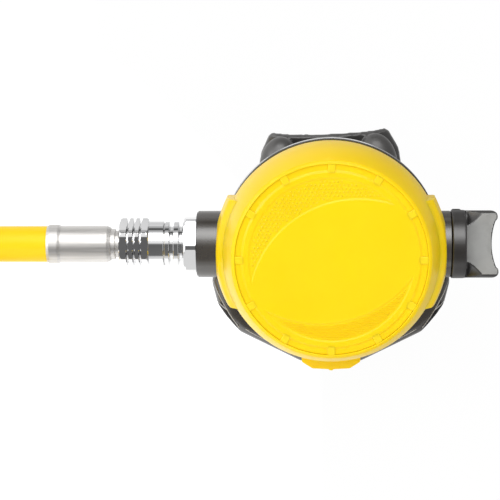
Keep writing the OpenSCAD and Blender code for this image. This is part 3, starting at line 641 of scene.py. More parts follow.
def turnedPart(name, profile, material, closed=True, segments=128, matrix=None):
    # profile is a line of (radius, height) points
    verts = [(r - 1.0, -h, 0) for r, h in profile]
    edges = [(i, i + 1) for i in range(len(verts) - 1)]
    if closed:
        edges.append((len(verts) - 1, 0))
    obj = newObject(name, meshFrom(name, verts, [], edges))
    runTree(obj, turnedTree, {"Segments": segments, "Core": 1.0}, material)
    tidyMesh(obj.data)
    if matrix:
        obj.data.transform(matrix)
    return obj


def joined(name, objects):
    # one object from several, each mesh as it stands
    bm = bmesh.new()
    slots = []
    for obj in objects:
        count = len(bm.faces)
        bm.from_mesh(obj.data)
        bm.faces.ensure_lookup_table()
        for face in bm.faces[count:]:
            mat = obj.data.materials[face.material_index] if obj.data.materials else None
            if mat not in slots:
                slots.append(mat)
            face.material_index = slots.index(mat)
        bpy.data.objects.remove(obj)
    mesh = bpy.data.meshes.new(name)
    bm.to_mesh(mesh)
    bm.free()
    for mat in slots:
        mesh.materials.append(mat)
    return newObject(name, mesh)


print("trees ready")

# ---- hose ----
hose = {
    "diameter": 12.3, "sides": 28, "axisHeight": 40.0, "ferruleX": -96.8,
    "route": [
        (-104, 0, 40), (-111, 0, 40), (-118, 0, 40), (-130, 0, 39.4), (-143, 0, 37.8),
        (-156, 0, 35.7), (-168, 0, 34.1), (-178, 0, 33.3),
    ],
    "coilX": -188.2, "coilRadius": 63.5, "turns": 2, "layer": 13.0, "tableZ": 6.25,
    "coilLead": 3.0, "farZ": 7.25, "farLead": 14.0,
    "girth": 0.0387,  # metres round the hose, for its grain
}


def step(a, start, end):
    return (1 - math.cos(math.pi * max(0.0, min(1.0, (a - start) / (end - start))))) / 2


def hosePath():
    # straight from the ferrule, then two turns that lie one on the other
    h = hose
    points = [Vector((h["ferruleX"], 0, h["axisHeight"]))] + [Vector(p) for p in h["route"]]
    drop, top = h["farZ"] + h["layer"] - h["tableZ"], h["farZ"] + h["turns"] * h["layer"]
    points += [Vector((h["coilX"] + h["coilLead"] + away, 0, top)) for away in (3, 0)]
    for a in range(0, 360 * h["turns"] + 1, 15):
        z = top - h["layer"] * step(a, 15, 195)
        z += (h["farZ"] - h["tableZ"]) * step(a, 660, 720) - drop * step(a, 375, 555)
        x = h["coilX"] - h["coilRadius"] * math.sin(math.radians(a))
        points.append(Vector((x, h["coilRadius"] * (math.cos(math.radians(a)) - 1), z)))
    return points + [Vector((h["coilX"] - h["farLead"], 0, h["farZ"]))]


def smoothed(points, parts=4):
    # a curve through the points
    out = []
    for i in range(len(points) - 1):
        p0, p1 = points[max(i - 1, 0)], points[i]
        p2, p3 = points[i + 1], points[min(i + 2, len(points) - 1)]
        m1 = (p2 - p0) / 2 if i else p2 - p1
        m2 = (p3 - p1) / 2 if i + 2 < len(points) else p2 - p1
        for s in range(parts):
            t = s / parts
            out.append(
                p1 * (2 * t**3 - 3 * t**2 + 1) + m1 * (t**3 - 2 * t**2 + t)
                + p2 * (3 * t**2 - 2 * t**3) + m2 * (t**3 - t**2)
            )
    return out + [points[-1]]


def tubeMesh(name, path, radius, sides):
    # a round tube with its length along u, in the path's units, and its girth along v
    rings, along, far = [], [], 0.0
    for i, point in enumerate(path):
        ahead = (path[min(i + 1, len(path) - 1)] - path[max(i - 1, 0)]).normalized()
        side = ahead.cross(Vector((0, 0, 1))).normalized()
        up = side.cross(ahead)
        rings.append([
            point + (side * math.cos(a) + up * math.sin(a)) * radius
            for a in (2 * math.pi * k / sides for k in range(sides))
        ])
        if i:
            far += (point - path[i - 1]).length
        along.append(far)
    verts, faces = loftRings(rings)
    mesh = meshFrom(name, verts, faces)
    uv = mesh.uv_layers.new(name="along")
    for poly in mesh.polygons:
        cap = len(poly.vertices) > 4
        for corner, vert in zip(poly.loop_indices, poly.vertices):
            ring, spoke = divmod(vert, sides)
            if not cap and spoke == 0 and any(v % sides == sides - 1 for v in poly.vertices):
                spoke = sides
            uv.data[corner].uv = (along[ring] * 0.001, spoke / sides * hose["girth"])
    return mesh


def makeHose():
    path = smoothed(hosePath())
    length = sum((b - a).length for a, b in zip(path, path[1:])) * 0.001
    obj = newObject("hoseLine", tubeMesh("hoseLine", path, hose["diameter"] / 2, hose["sides"]))
    tidyMesh(obj.data, merge=0.0001)
    replaced = ("hose_free", "hose_coil")
    finishPiece(obj, "regulator", onFloor, "yellowHose", replaced, 60, "yellow_hose")
    print(f"hose {length:.3f} m")
    return obj, [onFloor @ p for p in path], length


ferrule = {"length": 22.4, "hose": 6.15, "barb": 3.05, "neck": 5.25}


def makeFerrule(name, replaced, place):
    f = ferrule
    out, end = f["hose"], f["length"]
    profile = rounded([
        (f["barb"], 0, 0.05), (out + 0.2, 0, 0.15), (out + 0.52, 0.9, 0.9), (out + 0.52, 3.7, 0.9),
        (out + 0.12, 4.7, 0.5), (out + 0.08, 5.6, 1.5), (out + 0.05, end - 1.9, 0.9),
        (out - 0.5, end - 0.75, 0.5), (f["neck"], end - 0.75, 0.05),
        (f["neck"], end - 1, 0.02), (f["barb"], end - 1, 0.05),
    ], closed=True, steps=5)
    piece = turnedPart(name, profile, "satinNickel", segments=144)
    return finishPiece(piece, "regulator", place @ alongX, None, (replaced,), 30, "satin_nickel")


def makeFerrules():
    near = onTable @ Matrix.Translation((hose["ferruleX"], 0, 0))
    makeFerrule("crimpedFerrule", "near_ferrule", near)
    end = Matrix.Translation((hose["coilX"] - hose["farLead"], 0, hose["farZ"]))
    far = onFloor @ end @ Matrix.Rotation(math.pi, 4, "Z")
    return makeFerrule("farFerrule", "far_ferrule", far)


hoseLine, hoseRoute, hoseLength = makeHose()
farFerrule = makeFerrules()
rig.cord(
    hoseLine, exit=hoseRoute[0], length=hoseLength, diameter=hose["diameter"] * 0.001,
    far_end="fitting", stiffness="stiff", lay="coiled", path=hoseRoute,
    with_pieces=[farFerrule, nodes["far_fitting"], nodes["far_oring"]],
)

# ---- cover ----
cover = {
    "radius": 37.5, "face": 25.0, "widest": 6.0, "shoulderIn": 4.3, "shoulderDown": 0.7,
    "rimIn": 5.2, "lipRadius": 31.95, "lipThick": 1.8, "innerRadius": 33.6, "low": 0.6,
    "bossRadius": 11.7, "lugOut": 2.1, "lugLength": 36.8, "lugLow": 1.2, "lugTop": 8.0,
    "lugMeet": 18.5, "tabBase": 10.0, "tabTip": 6.4, "tabOut": 3.4, "tabTop": 8.0,
}


def coverProfile():
    c = cover
    top = c["face"] - c["shoulderDown"]
    rise = top - c["widest"]
    bend = (rise**2 + c["shoulderIn"] ** 2) / (2 * c["shoulderIn"])
    climb = math.degrees(math.asin(rise / bend))
    side = arc((c["radius"] - bend, c["widest"]), bend, 0, climb, 14)
    inner = c["innerRadius"]
    corners = [
        (c["lipRadius"], c["face"], 0.22), (c["lipRadius"], c["face"] - c["lipThick"] - 0.6, 0.1),
        (inner, c["face"] - c["lipThick"] - 1.4, 0.3), (inner, c["low"], 0.3),
        (c["radius"] - 0.5, c["low"], 0.5),
    ]
    corners += [(r, h, 0) for r, h in side[:-1]] + [(*side[-1], 1.4)]
    return rounded(corners + [(c["radius"] - c["rimIn"], c["face"], 1.2)], closed=True)


def sectorPiece(name, profile, start, end, pitch=1.5):
    # part of a turned piece, closed at both ends
    count = max(2, round(abs(end - start) / pitch))
    rings = []
    for i in range(count + 1):
        a = math.radians(start + (end - start) * i / count)
        rings.append([(*polar(r, a), h) for r, h in profile])
    verts, faces = loftRings(rings)
    obj = newObject(name, meshFrom(name, verts, faces))
    tidyMesh(obj.data)
    return obj


def makeLug(middle):
    # it blends into the shoulder, and its ends are cut square
    c, out = cover, cover["radius"] + cover["lugOut"]
    side = [
        (out, c["lugTop"], 2), (out - 0.9, c["lugTop"] + 4.5, 4),
        (out - 2.5, c["lugMeet"] - 4, 4), (c["radius"] - 3, c["lugMeet"], 1),
    ]
    lug = rounded(
        [(c["radius"] - 2, c["lugLow"], 0.2), (out, c["lugLow"], 0.6)] + side
        + [(c["radius"] - 3.6, c["lugMeet"] - 1, 0.2)], closed=True,
    )
    turn = math.degrees(math.asin(c["lugLength"] / 2 / (c["radius"] - 4)))
    piece = sectorPiece("lug", lug, middle - turn, middle + turn)
    for way in (-1, 1):
        cutFlat(piece, (0, way * c["lugLength"] / 2, 0), (0, way, 0))
    return softenEdges(piece, 0.5, 50)


def makeTab():
    c = cover
    root, tip = c["tabBase"], c["tabTip"]
    half = [(0.5, -c["tabOut"] - 0.4, 0.2), (0.9, -c["tabOut"], 0), (tip, 0.3 - c["tabOut"], 1.6)]
    half += [(root, 0.9 - c["tabOut"] / 2, 0.8), (root, 2.2, 0)]
    outline = [(-x, y, r) for x, y, r in reversed(half)] + half
    outline = [(x, y - c["radius"]) for x, y in rounded(outline, closed=True)]
    verts, faces = loftRings([[(x, y, z) for x, y in outline] for z in (c["low"], c["tabTop"])])
    tab = newObject("tab", meshFrom("tab", verts, faces))
    tidyMesh(tab.data)
    return softenEdges(tab, 0.6, 60)


def drillBosses(piece):
    r, reach = cover["bossRadius"], 60
    core = rounded([(0, -reach), (r, -reach), (r, reach), (0, reach)], 0)
    cutter = turnedPart("bossCut", core, "yellowCover", closed=False, segments=96, matrix=alongX)
    cutter.data.transform(Matrix.Translation((0, -stance["coverY"], 0)))
    return subtract(piece, cutter)


def makeCover():
    ring = turnedPart("coverRing", coverProfile(), "yellowCover", segments=192)
    parts = [drillBosses(part) for part in (ring, makeLug(0), makeLug(180))] + [makeTab()]
    shell = joined("coverShell", [dress(part, "yellowCover") for part in parts])
    finishPiece(shell, "regulator", onCover, None, ("cover_ring",), 32, "yellow_cover")


makeCover()
print("cover made")

# ---- purge plate ----
plate = {
    "radius": 30.0, "flange": 33.15, "flangeTop": 22.9, "flangeThick": 1.0, "face": 25.0,
    "faceIn": 1.3, "chamferIn": 0.8, "slotFloor": 24.5, "slotEdge": 31.9,
    "boss": 6.6, "bossTip": 6.0, "bossLow": 15.5,
    "bridges": 12, "bridgeWidth": 2.5, "bridgeIn": 1.2, "bridgeDown": 0.06, "seam": 0.06,
    "rim": 27.8, "relief": 0.32, "slope": 0.9, "spacing": 1.0,
    "slopeLines": (-0.12, 0.0, 0.18, 0.36, 0.54, 0.72, 0.9, 1.05),
    "studs": {
        "cutX": 9.0, "cutY": -16.0, "cutRadius": 36.0, "pitch": 1.34, "rows": 46, "inset": 1.3,
        "dome": ((0.43, -0.03), (0.38, 0.06), (0.22, 0.12), (0.07, 0.14)), "seed": 4,
    },
    "ribs": {
        "cutX": -4.0, "cutY": 17.0, "cutRadius": 38.0, "pitch": 0.68, "rows": 84, "inset": 1.1,
        "section": ((0.22, 0.0), (0.15, 0.07), (0.0, 0.1), (-0.15, 0.07), (-0.22, 0.0), (0, -0.04)),
        "halfLength": 30.0,
    },
}


def crescentLine(form, inset):
    # outline of a crescent that is pulled in by inset
    a, r = plate["rim"] - inset, form["cutRadius"] + inset
    middle = (form["cutX"], form["cutY"])
    far, away = math.hypot(*middle), math.atan2(-middle[1], -middle[0])
    half = math.acos((r * r - a * a - far * far) / (2 * a * far))
    count = round(2 * half * a / plate["spacing"])
    line = [Vector(polar(a, away - half + 2 * half * i / count)) for i in range(count + 1)]
    tip = line[-1] - Vector(middle)
    spread = abs(math.remainder(math.atan2(tip.y, tip.x) - away, 2 * math.pi))
    count = round(2 * spread * r / plate["spacing"])
    back = (away + spread - 2 * spread * i / count for i in range(1, count))
    return line + [Vector(polar(r, turn, middle)) for turn in back]


def reliefDepth(p):
    deepest = 0.0
    for form in (plate["studs"], plate["ribs"]):
        inset = min(
            plate["rim"] - p.length,
            (p - Vector((form["cutX"], form["cutY"]))).length - form["cutRadius"],
        )
        t = max(0.0, min(1.0, inset / plate["slope"]))
        deepest = max(deepest, plate["relief"] * t * t * (3 - 2 * t))
    return deepest


def makePlate():
    p = plate
    edge, segments = p["radius"] - p["faceIn"], 192
    points = [Vector(polar(edge, 2 * math.pi * i / segments)) for i in range(segments)]
    lines = [list(range(segments))]
    for form in (p["studs"], p["ribs"]):
        for inset in p["slopeLines"]:
            outline = crescentLine(form, inset)
            lines.append(list(range(len(points), len(points) + len(outline))))
            points += outline
    edges = [(a, b) for line in lines for a, b in zip(line, line[1:] + line[:1])]
    flat, _, faces, *_ = delaunay_2d_cdt(points, edges, [lines[0]], 1, 1e-5)
    verts = [(v.x, v.y, p["face"] - reliefDepth(v)) for v in flat]
    face = dress(newObject("plateFace", meshFrom("plateFace", verts, faces)), "yellowCover")
    low = p["flangeTop"] - p["flangeThick"]
    rim = turnedPart("plateRim", [(edge, p["face"])] + rounded([
        (edge, p["face"]), (p["radius"] - p["chamferIn"], p["face"], 0.5),
        (p["radius"], p["slotFloor"], 0.5), (p["slotEdge"], p["slotFloor"], 0.1),
        (p["slotEdge"], p["flangeTop"], 0.1), (p["flange"], p["flangeTop"], 0.2),
        (p["flange"], low, 0.2), (p["boss"], low, 0.3), (p["bossTip"], p["bossLow"], 0.3),
        (0, p["bossLow"], 0),
    ], 0.2)[1:], "yellowCover", closed=False, segments=segments)
    # one bridge, with softened edges, copied round the plate
    half, inner = p["bridgeWidth"] / 2, p["radius"] - p["bridgeIn"]
    outer = cover["lipRadius"] - p["seam"]
    foot, top = p["flangeTop"] - 0.1, p["face"] - p["bridgeDown"]
    section = rounded(
        [(-half, foot, 0), (-half, top, 0.25), (half, top, 0.25), (half, foot, 0)],
        closed=True, steps=3,
    )
    verts, faces = loftRings([[(r, y, z) for y, z in section] for r in (inner, outer)])
    bridges = newObject("bridges", meshFrom("bridges", verts, faces))
    runTree(bridges, ringTree, {"Count": p["bridges"], "Start": 0.0}, "yellowCover")
    piece = joined("purgeFace", [face, rim, bridges])
    tidyMesh(piece.data)
    finishPiece(piece, "purge", onCover, None, ("purge_plate",), 40, "yellow_cover")


def fieldValues(form):
    # a field stays clear of its crescent's sloped edge
    return {
        "Pitch": form["pitch"], "Rows": form["rows"], "Cut X": form["cutX"], "Cut Y": form["cutY"],
        "Outer Radius": plate["rim"] - form["inset"],
        "Cut Radius": form["cutRadius"] + form["inset"],
    }


def makeRelief():
    s, r, floor = plate["studs"], plate["ribs"], plate["face"] - plate["relief"]
    rings = [[(*polar(q, math.pi * k / 4), z) for k in range(8)] for q, z in s["dome"]]
    verts, faces = loftRings(rings)
    studs = newObject("studs", meshFrom("studs", verts, faces))
    runTree(studs, studTree, {**fieldValues(s), "Seed": s["seed"]}, "yellowCover")
    verts = [(-z, y, 0) for y, z in r["section"]]
    edges = [(i, (i + 1) % len(verts)) for i in range(len(verts))]
    ribs = newObject("ribs", meshFrom("ribs", verts, [], edges))
    runTree(ribs, ribTree, {**fieldValues(r), "Half Length": r["halfLength"]}, "yellowCover")
    piece = joined("reliefTexture", [studs, ribs])
    tidyMesh(piece.data)
    piece.data.transform(Matrix.Translation((0, 0, floor)))
    finishPiece(piece, "purge", onCover, None, (), 50, "yellow_cover")


makePlate()
makeRelief()
print("purge plate made")

# ---- fittings ----


def hexPiece(name, profile, flats, turn, crown=(0, 0), count=240):
    # a closed line of (x, radius) points is swept round, and cut to a hexagon across its flats;
    # past crown[0] from its middle a flat falls away by crown[1] degrees
    rings, fall = [], math.radians(crown[1])
    ease = flats / 2 * math.cos(fall) + crown[0] * math.sin(fall)
    for x, reach in profile:
        ring = []
        for k in range(count):
            a = 360 * k / count
            off = math.radians(math.remainder(a - turn - 30, 60))
            r = min(reach, flats / 2 / math.cos(off))
            if fall:
                r = min(r, ease / math.cos(abs(off) - fall))
            ring.append((*polar(r, math.radians(a)), x))
        rings.append(ring)
    verts, faces = loftRings(rings + [rings[0]], caps=False)
    obj = newObject(name, meshFrom(name, verts, faces))
    tidyMesh(obj.data)
    return dress(obj, "chrome")


swivelNut = {
    "flats": 15.875, "turn": 25.0, "crown": (3.0, 8.0), "from": -72.0, "hexTo": -61.8,
    "to": -56.8, "skirt": 7.87, "groove": 7.34, "middle": -66.9, "pitch": 2.142, "neck": 4.65,
    "chamber": 6.2, "thread": 7.14, "threadTo": -64.0,
    # half a groove: out from its middle, down from the hexagon's corner, softness
    "arch": ((0.78, 0.02, 0.4), (0.46, 0.4, 0.3), (0.22, 1.25, 0.1)), "grooveHalf": 0.19,
}


def makeNut():
    n = swivelNut
    corner = n["flats"] / 2 / math.cos(math.radians(30))
    line = [
        (n["from"], n["neck"], 0.2), (n["from"], corner - 1.25, 0.1),
        (n["from"] + 0.35, corner - 0.5, 0.4), (n["from"] + 1.1, corner, 0.6),
    ]
    arch = [(away, corner - down, soft) for away, down, soft in n["arch"]]
    arch.append((n["grooveHalf"], n["groove"], 0.1))
    for i in (-1, 0, 1):
        x = n["middle"] + i * n["pitch"]
        line += [(x - away, r, soft) for away, r, soft in arch]
        line += [(x + away, r, soft) for away, r, soft in reversed(arch)]
    line += [
        (n["hexTo"] - 1.2, corner, 0.6), (n["hexTo"] - 0.45, corner - 0.5, 0.4),
        (n["hexTo"] - 0.1, n["skirt"], 0.1), (n["to"], n["skirt"], 0.35),
        (n["to"], n["thread"], 0.3), (n["threadTo"], n["thread"], 0.1),
        (n["threadTo"], n["chamber"], 0.1), (n["from"] + 4, n["chamber"], 0.1),
        (n["from"] + 2.6, n["neck"], 0.2),
    ]
    line = rounded(line, closed=True, steps=3)
    piece = hexPiece("ridgedNut", line, n["flats"], n["turn"], n["crown"])
    finishPiece(piece, "nut", onTable @ alongX, None, ("swivel_nut",), 26, "chrome")


inletFitting = {
    "flats": 18.2, "turn": -2.8, "threadEnd": -63.8, "ringsFrom": -56.5, "hexFrom": -50.0,
    "hexTo": -45.7, "round": 10.1, "ring": 7.77, "groove": 6.1, "thread": 7.09, "stub": 5.15,
    "stubEnd": -30.2, "seat": 4.7, "seatTo": -59.8, "bore": 2.6,
}


def makeInlet():
    f = inletFitting
    ring, groove, a, b = f["ring"], f["groove"], f["ringsFrom"], f["hexFrom"]
    line = [
        (f["threadEnd"], f["seat"], 0.1), (f["threadEnd"], f["thread"] - 0.6, 0.1),
        (f["threadEnd"] + 0.7, f["thread"], 0.1), (a, f["thread"], 0.1), (a, ring, 0.25),
        (a + 1.5, ring, 0.25), (a + 1.8, groove, 0.15), (a + 2.7, groove, 0.15),
        (a + 3, ring, 0.25), (b - 1.8, ring, 0.25), (b - 1.5, groove, 0.15), (b - 0.7, groove, 0.1),
        (b - 0.5, ring - 0.2, 0.15), (b, ring - 0.2, 0.1), (b, f["flats"] / 2 + 0.35, 0.2),
        (b + 0.75, f["round"], 0.3), (f["hexTo"], f["round"], 0.2), (f["hexTo"], f["stub"], 0.1),
        (f["stubEnd"], f["stub"], 0.1), (f["stubEnd"], f["bore"], 0.1),
        (f["seatTo"], f["bore"], 0.1), (f["seatTo"], f["seat"], 0.1),
    ]
    piece = hexPiece("inletBody", rounded(line, closed=True, steps=3), f["flats"], f["turn"])
    finishPiece(piece, "regulator", onTable @ alongX, None, ("inlet_fitting",), 26, "chrome")


makeNut()
makeInlet()
print("fittings made")

# ---- moulded forms ----


def cast(obj, voxel, smooth):
    # one closed, evenly meshed skin round a form, with its edges eased
    skin = obj.modifiers.new("skin", "REMESH")
    skin.mode, skin.voxel_size, skin.adaptivity = "VOXEL", voxel, 0.0
    ease = obj.modifiers.new("ease", "SMOOTH")
    ease.factor, ease.iterations = 0.5, smooth
    return applyModifiers(obj)


forms = {
    "exhaust_deflector": {
        "name": "exhaustTee", "voxel": 0.55, "smooth": 9,
        "finish": "glossBlack", "slot": "black_case",
    },
    "mouthpiece": {
        "name": "softMouthpiece", "voxel": 0.5, "smooth": 8,
        "finish": "blackSilicone", "slot": "black_silicone",
        # each swell's middle, radii and turn
        "swells": [
            ((-18.5, 24.5, -27), (6.6, 9.5, 6.0), -12), ((17.0, 25.5, -27), (6.6, 9.8, 6.0), 14),
        ],
    },
}


def makeForm(node, form):
    mesh = nodes[node].data.copy()
    mesh.name = form["name"]
    obj = newObject(form["name"], mesh)
    tidyMesh(mesh, merge=2e-6, outward=False)
    swells = []
    for centre, radii, turn in form.get("swells", ()):
        ball = bmesh.new()
        bmesh.ops.create_uvsphere(ball, u_segments=32, v_segments=20, radius=1.0)
        swell = newObject("swell", bpy.data.meshes.new("swell"))
        ball.to_mesh(swell.data)
        ball.free()
        place = onTable @ Matrix.Translation(centre) @ Matrix.Rotation(math.radians(turn), 4, "Z")
        swell.data.transform(place @ Matrix.Diagonal((*radii, 1)))
        swells.append(swell)
    if swells:
        obj = joined(form["name"], [obj] + swells)
    cast(obj, form["voxel"] * 0.001, form["smooth"])
    return finishPiece(obj, "regulator", Matrix(), form["finish"], (node,), 0, form["slot"])


knob = {
    "left": 40.8, "root": 45.7, "right": 56.7, "radius": 11.7, "bore": 5.05, "thick": 9.0,
    "endRadius": 24.0, "endIn": 2.1, "endRound": 2.2, "endWidth": 3.6, "skew": 0.4,
    "rest": -10.0, "voxel": 0.3,
    "scoop": {"radius": 6.0, "up": 2.9, "tilt": 25.0, "turn": 14.0, "side": 5.4},
    "mark": ((0, 0), (3, 0), (2.8, 0.85), (0.2, 0.85)),
}


def paddleLine():
    k = knob
    w, r, end = k["radius"] - 0.2, k["endRound"], k["endRadius"]
    half = [(k["root"] - 1, w)] + arc((k["right"] - r, w - r), r, 90, -25, 8)
    for i in range(9):
        y = (w - k["endWidth"]) * (1 - i / 8)
        half.append((k["right"] + end - k["endIn"] - math.sqrt(end**2 - y * y), y))
    lower = [(x + k["skew"] * max(0, y / w) ** 2 * (x > k["root"]), -y) for x, y in half[:-1]]
    return half + lower[::-1]


def plainRod(name, radius, start, end):
    profile = [(0, start), (radius, start), (radius, end), (0, end)]
    return turnedPart(name, profile, "satinBlack", closed=False, segments=96)


def makeKnob():
    k, s = knob, knob["scoop"]
    line, half = paddleLine(), knob["thick"] / 2
    verts, faces = loftRings([[(x, y, z) for x, y in line] for z in (-half, half)])
    slab = newObject("slab", meshFrom("slab", verts, faces))
    tidyMesh(slab.data)
    barrel = plainRod("barrel", k["radius"] - 0.1, k["root"] - 1.5, k["right"] + 1)
    barrel.data.transform(alongX)
    subtract(slab, barrel, "INTERSECT")
    reach = s["radius"] / math.cos(math.radians(s["tilt"]))
    off = math.sqrt(reach**2 - s["up"] ** 2)
    for side in (-1, 1):
        for face in (-1, 1):
            scoop = plainRod("scoop", s["radius"], -15, 15)
            turn = Matrix.Rotation(math.radians(side * s["turn"]), 4, "Z")
            tilt = Matrix.Rotation(math.radians(90 - face * s["tilt"]), 4, "Y")
            spot = Matrix.Translation((k["root"], side * s["side"], face * (half + s["up"])))
            scoop.data.transform(spot @ turn @ Matrix.Translation((0, side * off, 0)) @ tilt)
            subtract(slab, scoop)
    collar = turnedPart("collar", rounded([
        (0, k["left"] + 3), (k["bore"], k["left"] + 3, 0.1), (k["bore"], k["left"], 0.1),
        (k["radius"] - 0.3, k["left"], 0.2), (k["radius"], k["left"] + 0.35, 0.3),
        (k["radius"], k["root"] - 0.3, 0.35), (k["radius"] - 0.35, k["root"], 0.3), (0, k["root"]),
    ]), "satinBlack", closed=False, segments=144, matrix=alongX)
    mark = newObject("mark", meshFrom("mark", *loftRings([
        [(k["left"] + 0.4 + x, k["radius"] - 0.5 + y, z) for x, y in k["mark"]]
        for z in (-0.8, 0.8)
    ])))
    tidyMesh(mark.data)
    piece = joined("paddleKnob", [slab, collar, mark])
    cast(piece, k["voxel"], 4)
    dress(piece, "satinBlack", "knobFace")
    for face in piece.data.polygons:
        flat = abs(face.normal.z) > 0.985 and abs(face.center.z) > half - 0.1
        eased = abs(face.normal.z) > 0.94 and face.center.x > k["root"] + 3
        eased = eased and abs(face.center.y) < k["radius"] - 1
        face.material_index = 1 if eased or flat and face.center.x > k["root"] else 0
    turn = Matrix.Rotation(math.radians(k["rest"]), 4, "X")
    finishPiece(piece, "knob", onTable @ turn, None, ("vane_knob",), 0, "black_knob")


rubbers = {
    "flapSeat": (0, -23, -20),
    "skirt": [
        (12.3, 14.2, 0.2), (16, 14.2, 1.5), (19, 15.8, 1.5), (22, 15.8, 1.5), (25, 13.4, 1),
        (26.5, 13, 0.5), (33.1, 13, 0.3), (33.1, 14.6, 0.4), (30.6, 14.6, 0.3), (30.6, 13.8, 0.3),
        (25.4, 13.8, 1), (22.3, 16.6, 1.5), (18.7, 16.6, 1.5), (15.7, 15.0, 1.5), (12.3, 15.0, 0.3),
    ],
    "flap": [
        (0, -0.02), (10.5, -0.02, 0.05), (10.8, -0.12, 0.05), (10.5, -0.8, 0.3), (4, -1.0, 1.0),
        (2.4, -1.6, 0.5), (0, -1.6),
    ],
}


def makeRubbers():
    skirt, flap = rounded(rubbers["skirt"], closed=True), rounded(rubbers["flap"])
    piece = turnedPart("diaphragmSkin", skirt, "clearSilicone")
    finishPiece(piece, "regulator", onCover, None, ("diaphragm",), 40, "clear_silicone")
    piece = turnedPart("exhaustFlap", flap, "blackSilicone", closed=False, segments=96)
    place = onTable @ Matrix.Translation(rubbers["flapSeat"])
    finishPiece(piece, "flap", place, None, ("exhaust_valve",), 40, "black_silicone")


rimShelves = {
    "upperShelf": ((37.5, -1.0), (37.76, -1.13)),
    "lowerShelf": ((37.0, -4.4), (37.3, -4.55)),
}


def makeCaseRim():
    # the polished shelves that show round the cover's far side
    for name, (start, (r, h)) in rimShelves.items():
        line = [start, (r, h), (r, h - 0.6), (r - 0.9, h - 0.9), (r - 0.9, h - 0.05)]
        shelf = drillBosses(turnedPart(name, line, "polishedEdge", segments=192))
        finishPiece(shelf, "regulator", onCover, "polishedEdge", (), 30, "black_case")


creases = {
    # faces within this range are painted near black, as painted shade of the port's dark opening
    "radius": 0.2, "shadePocket": ((43.3, 50), (29, 43)),  # the pocket's range of radius and of angle
    "lines": [
        [(43.0, 19), (43.0, 25), (43.0, 31), (43.1, 34), (43.4, 38), (43.9, 43.5)],
        [(44.6, 28), (44.0, 30.5), (43.2, 33.5)],
        [(42.6, 46), (42.1, 50), (41.6, 54), (41.1, 58)],
    ],
}


def makeCreases(tee):
    # thin raised creases along the tee's shoulder, painted pale grey as a painted highlight; the patch beside them is
    # painted near black and matt, as painted shade of the port's dark opening
    fromTable = onTable.inverted()
    down = (onTable.to_3x3() @ Vector((0, 0, -1))).normalized()
    tubes = []
    for line in creases["lines"]:
        for side in (-1, 1):
            path = []
            for r, a in line:
                x, y = polar(r, -math.radians(a))
                hit, spot, *_ = tee.ray_cast(onTable @ Vector((side * x, y, 12)), down)
                if hit:
                    path.append(fromTable @ spot)
            if len(path) > 2:
                tube = tubeMesh("crease", smoothed(path, 3), creases["radius"], 8)
                tubes.append(newObject("crease", tube))
    piece = joined("teeCreases", tubes)
    tidyMesh(piece.data)
    # the creases are coloured pale grey: a painted highlight on the black tee
    finishPiece(piece, "regulator", onTable, "creaseHighlightPaint", (), 60, "black_case")
    # painted shade: the faces beside the creases take near black for the dark inside of the port
    tee.data.materials.append(materials["portShadePaint"])
    (near, far), (low, high) = creases["shadePocket"]
    for face in tee.data.polygons:
        spot = fromTable @ face.center
        r, a = math.hypot(spot.x, spot.y), math.degrees(math.atan2(-spot.y, abs(spot.x)))
        if near < r < far and low < a < high:
            face.material_index = 1


moulded = {node: makeForm(node, form) for node, form in forms.items()}
makeCaseRim()
makeCreases(moulded["exhaust_deflector"])
makeKnob()
makeRubbers()
print("moulded forms made")

# ---- finishes of the pieces that keep their solid ----
carried = {
    "diaphragm_ring": "satinBlack", "diaphragm_disc": "springSteel",
    "case_body": "glossBlack", "valve_tube": "satinNickel", "tube_cap": "satinBlack",
    "orifice_seat": "brass", "poppet": "whiteAcetal", "poppet_seat": "blackSeal",
    "poppet_spring": "springSteel", "lever": "springSteel", "lever_nut": "brass",
    "inlet_oring": "blackSeal", "hose_stem": "satinNickel", "stem_oring": "blackSeal",
    "vane": "satinBlack", "vane_oring": "blackSeal",
    "tie_wrap": "satinBlack", "far_fitting": "chrome", "far_oring": "blackSeal",
}
for name, finish in carried.items():
    dress(nodes[name], finish)

# ---- studio ----
studio = {
    "floor": 6.0, "floorShade": 0.8, "keepShadow": 0.03, "fill": 0.54, "bounce": 0.9,
    # the floor that the pieces see: from x or y to x or y, with its light at either end
    "across": (-0.07, 0.08, 1.7, 0.5), "away": (-0.02, 0.08, 1.0, 0.6),
    "walls": (-0.5, 0.5, 1.5, 0.3), "endOn": (0.4, 0.75), "aim": (0, 0, 0.03),
    "softboxes": [
        {"turn": (26, 0), "size": (0.7, 0.66), "far": 0.9, "radiance": 2.6, "gloss": True},
        {"turn": (10, -48), "size": (0.5, 0.5), "far": 0.9, "radiance": 3.3, "gloss": True},
        {"turn": (-58, 0), "size": (0.9, 0.5), "far": 0.9, "radiance": 2.2, "gloss": False},
        {"turn": (0, 58), "size": (0.5, 0.5), "far": 0.9, "radiance": 1.3, "gloss": False},
    ],
    "room": [
        (-110, 1.3), (-76, 0.85), (-70, 0.2), (-16, 0.17), (-11, 0.3), (-5, 1.2), (16, 1.3),
        (20, 2.2), (33, 2.2), (38, 1.2), (48, 0.9), (60, 0.6), (66, 0.12), (74, 0.12), (80, 0.6),
        (100, 0.7),
    ],
}


def mixShaders(tree, factor, a, b):
    return addNode(tree, "ShaderNodeMixShader", {0: factor, 1: a, 2: b}).outputs[0]


def background(tree, colour, strength=1.0):
    inputs = {"Color": colour, "Strength": strength}
    return addNode(tree, "ShaderNodeBackground", inputs).outputs[0]


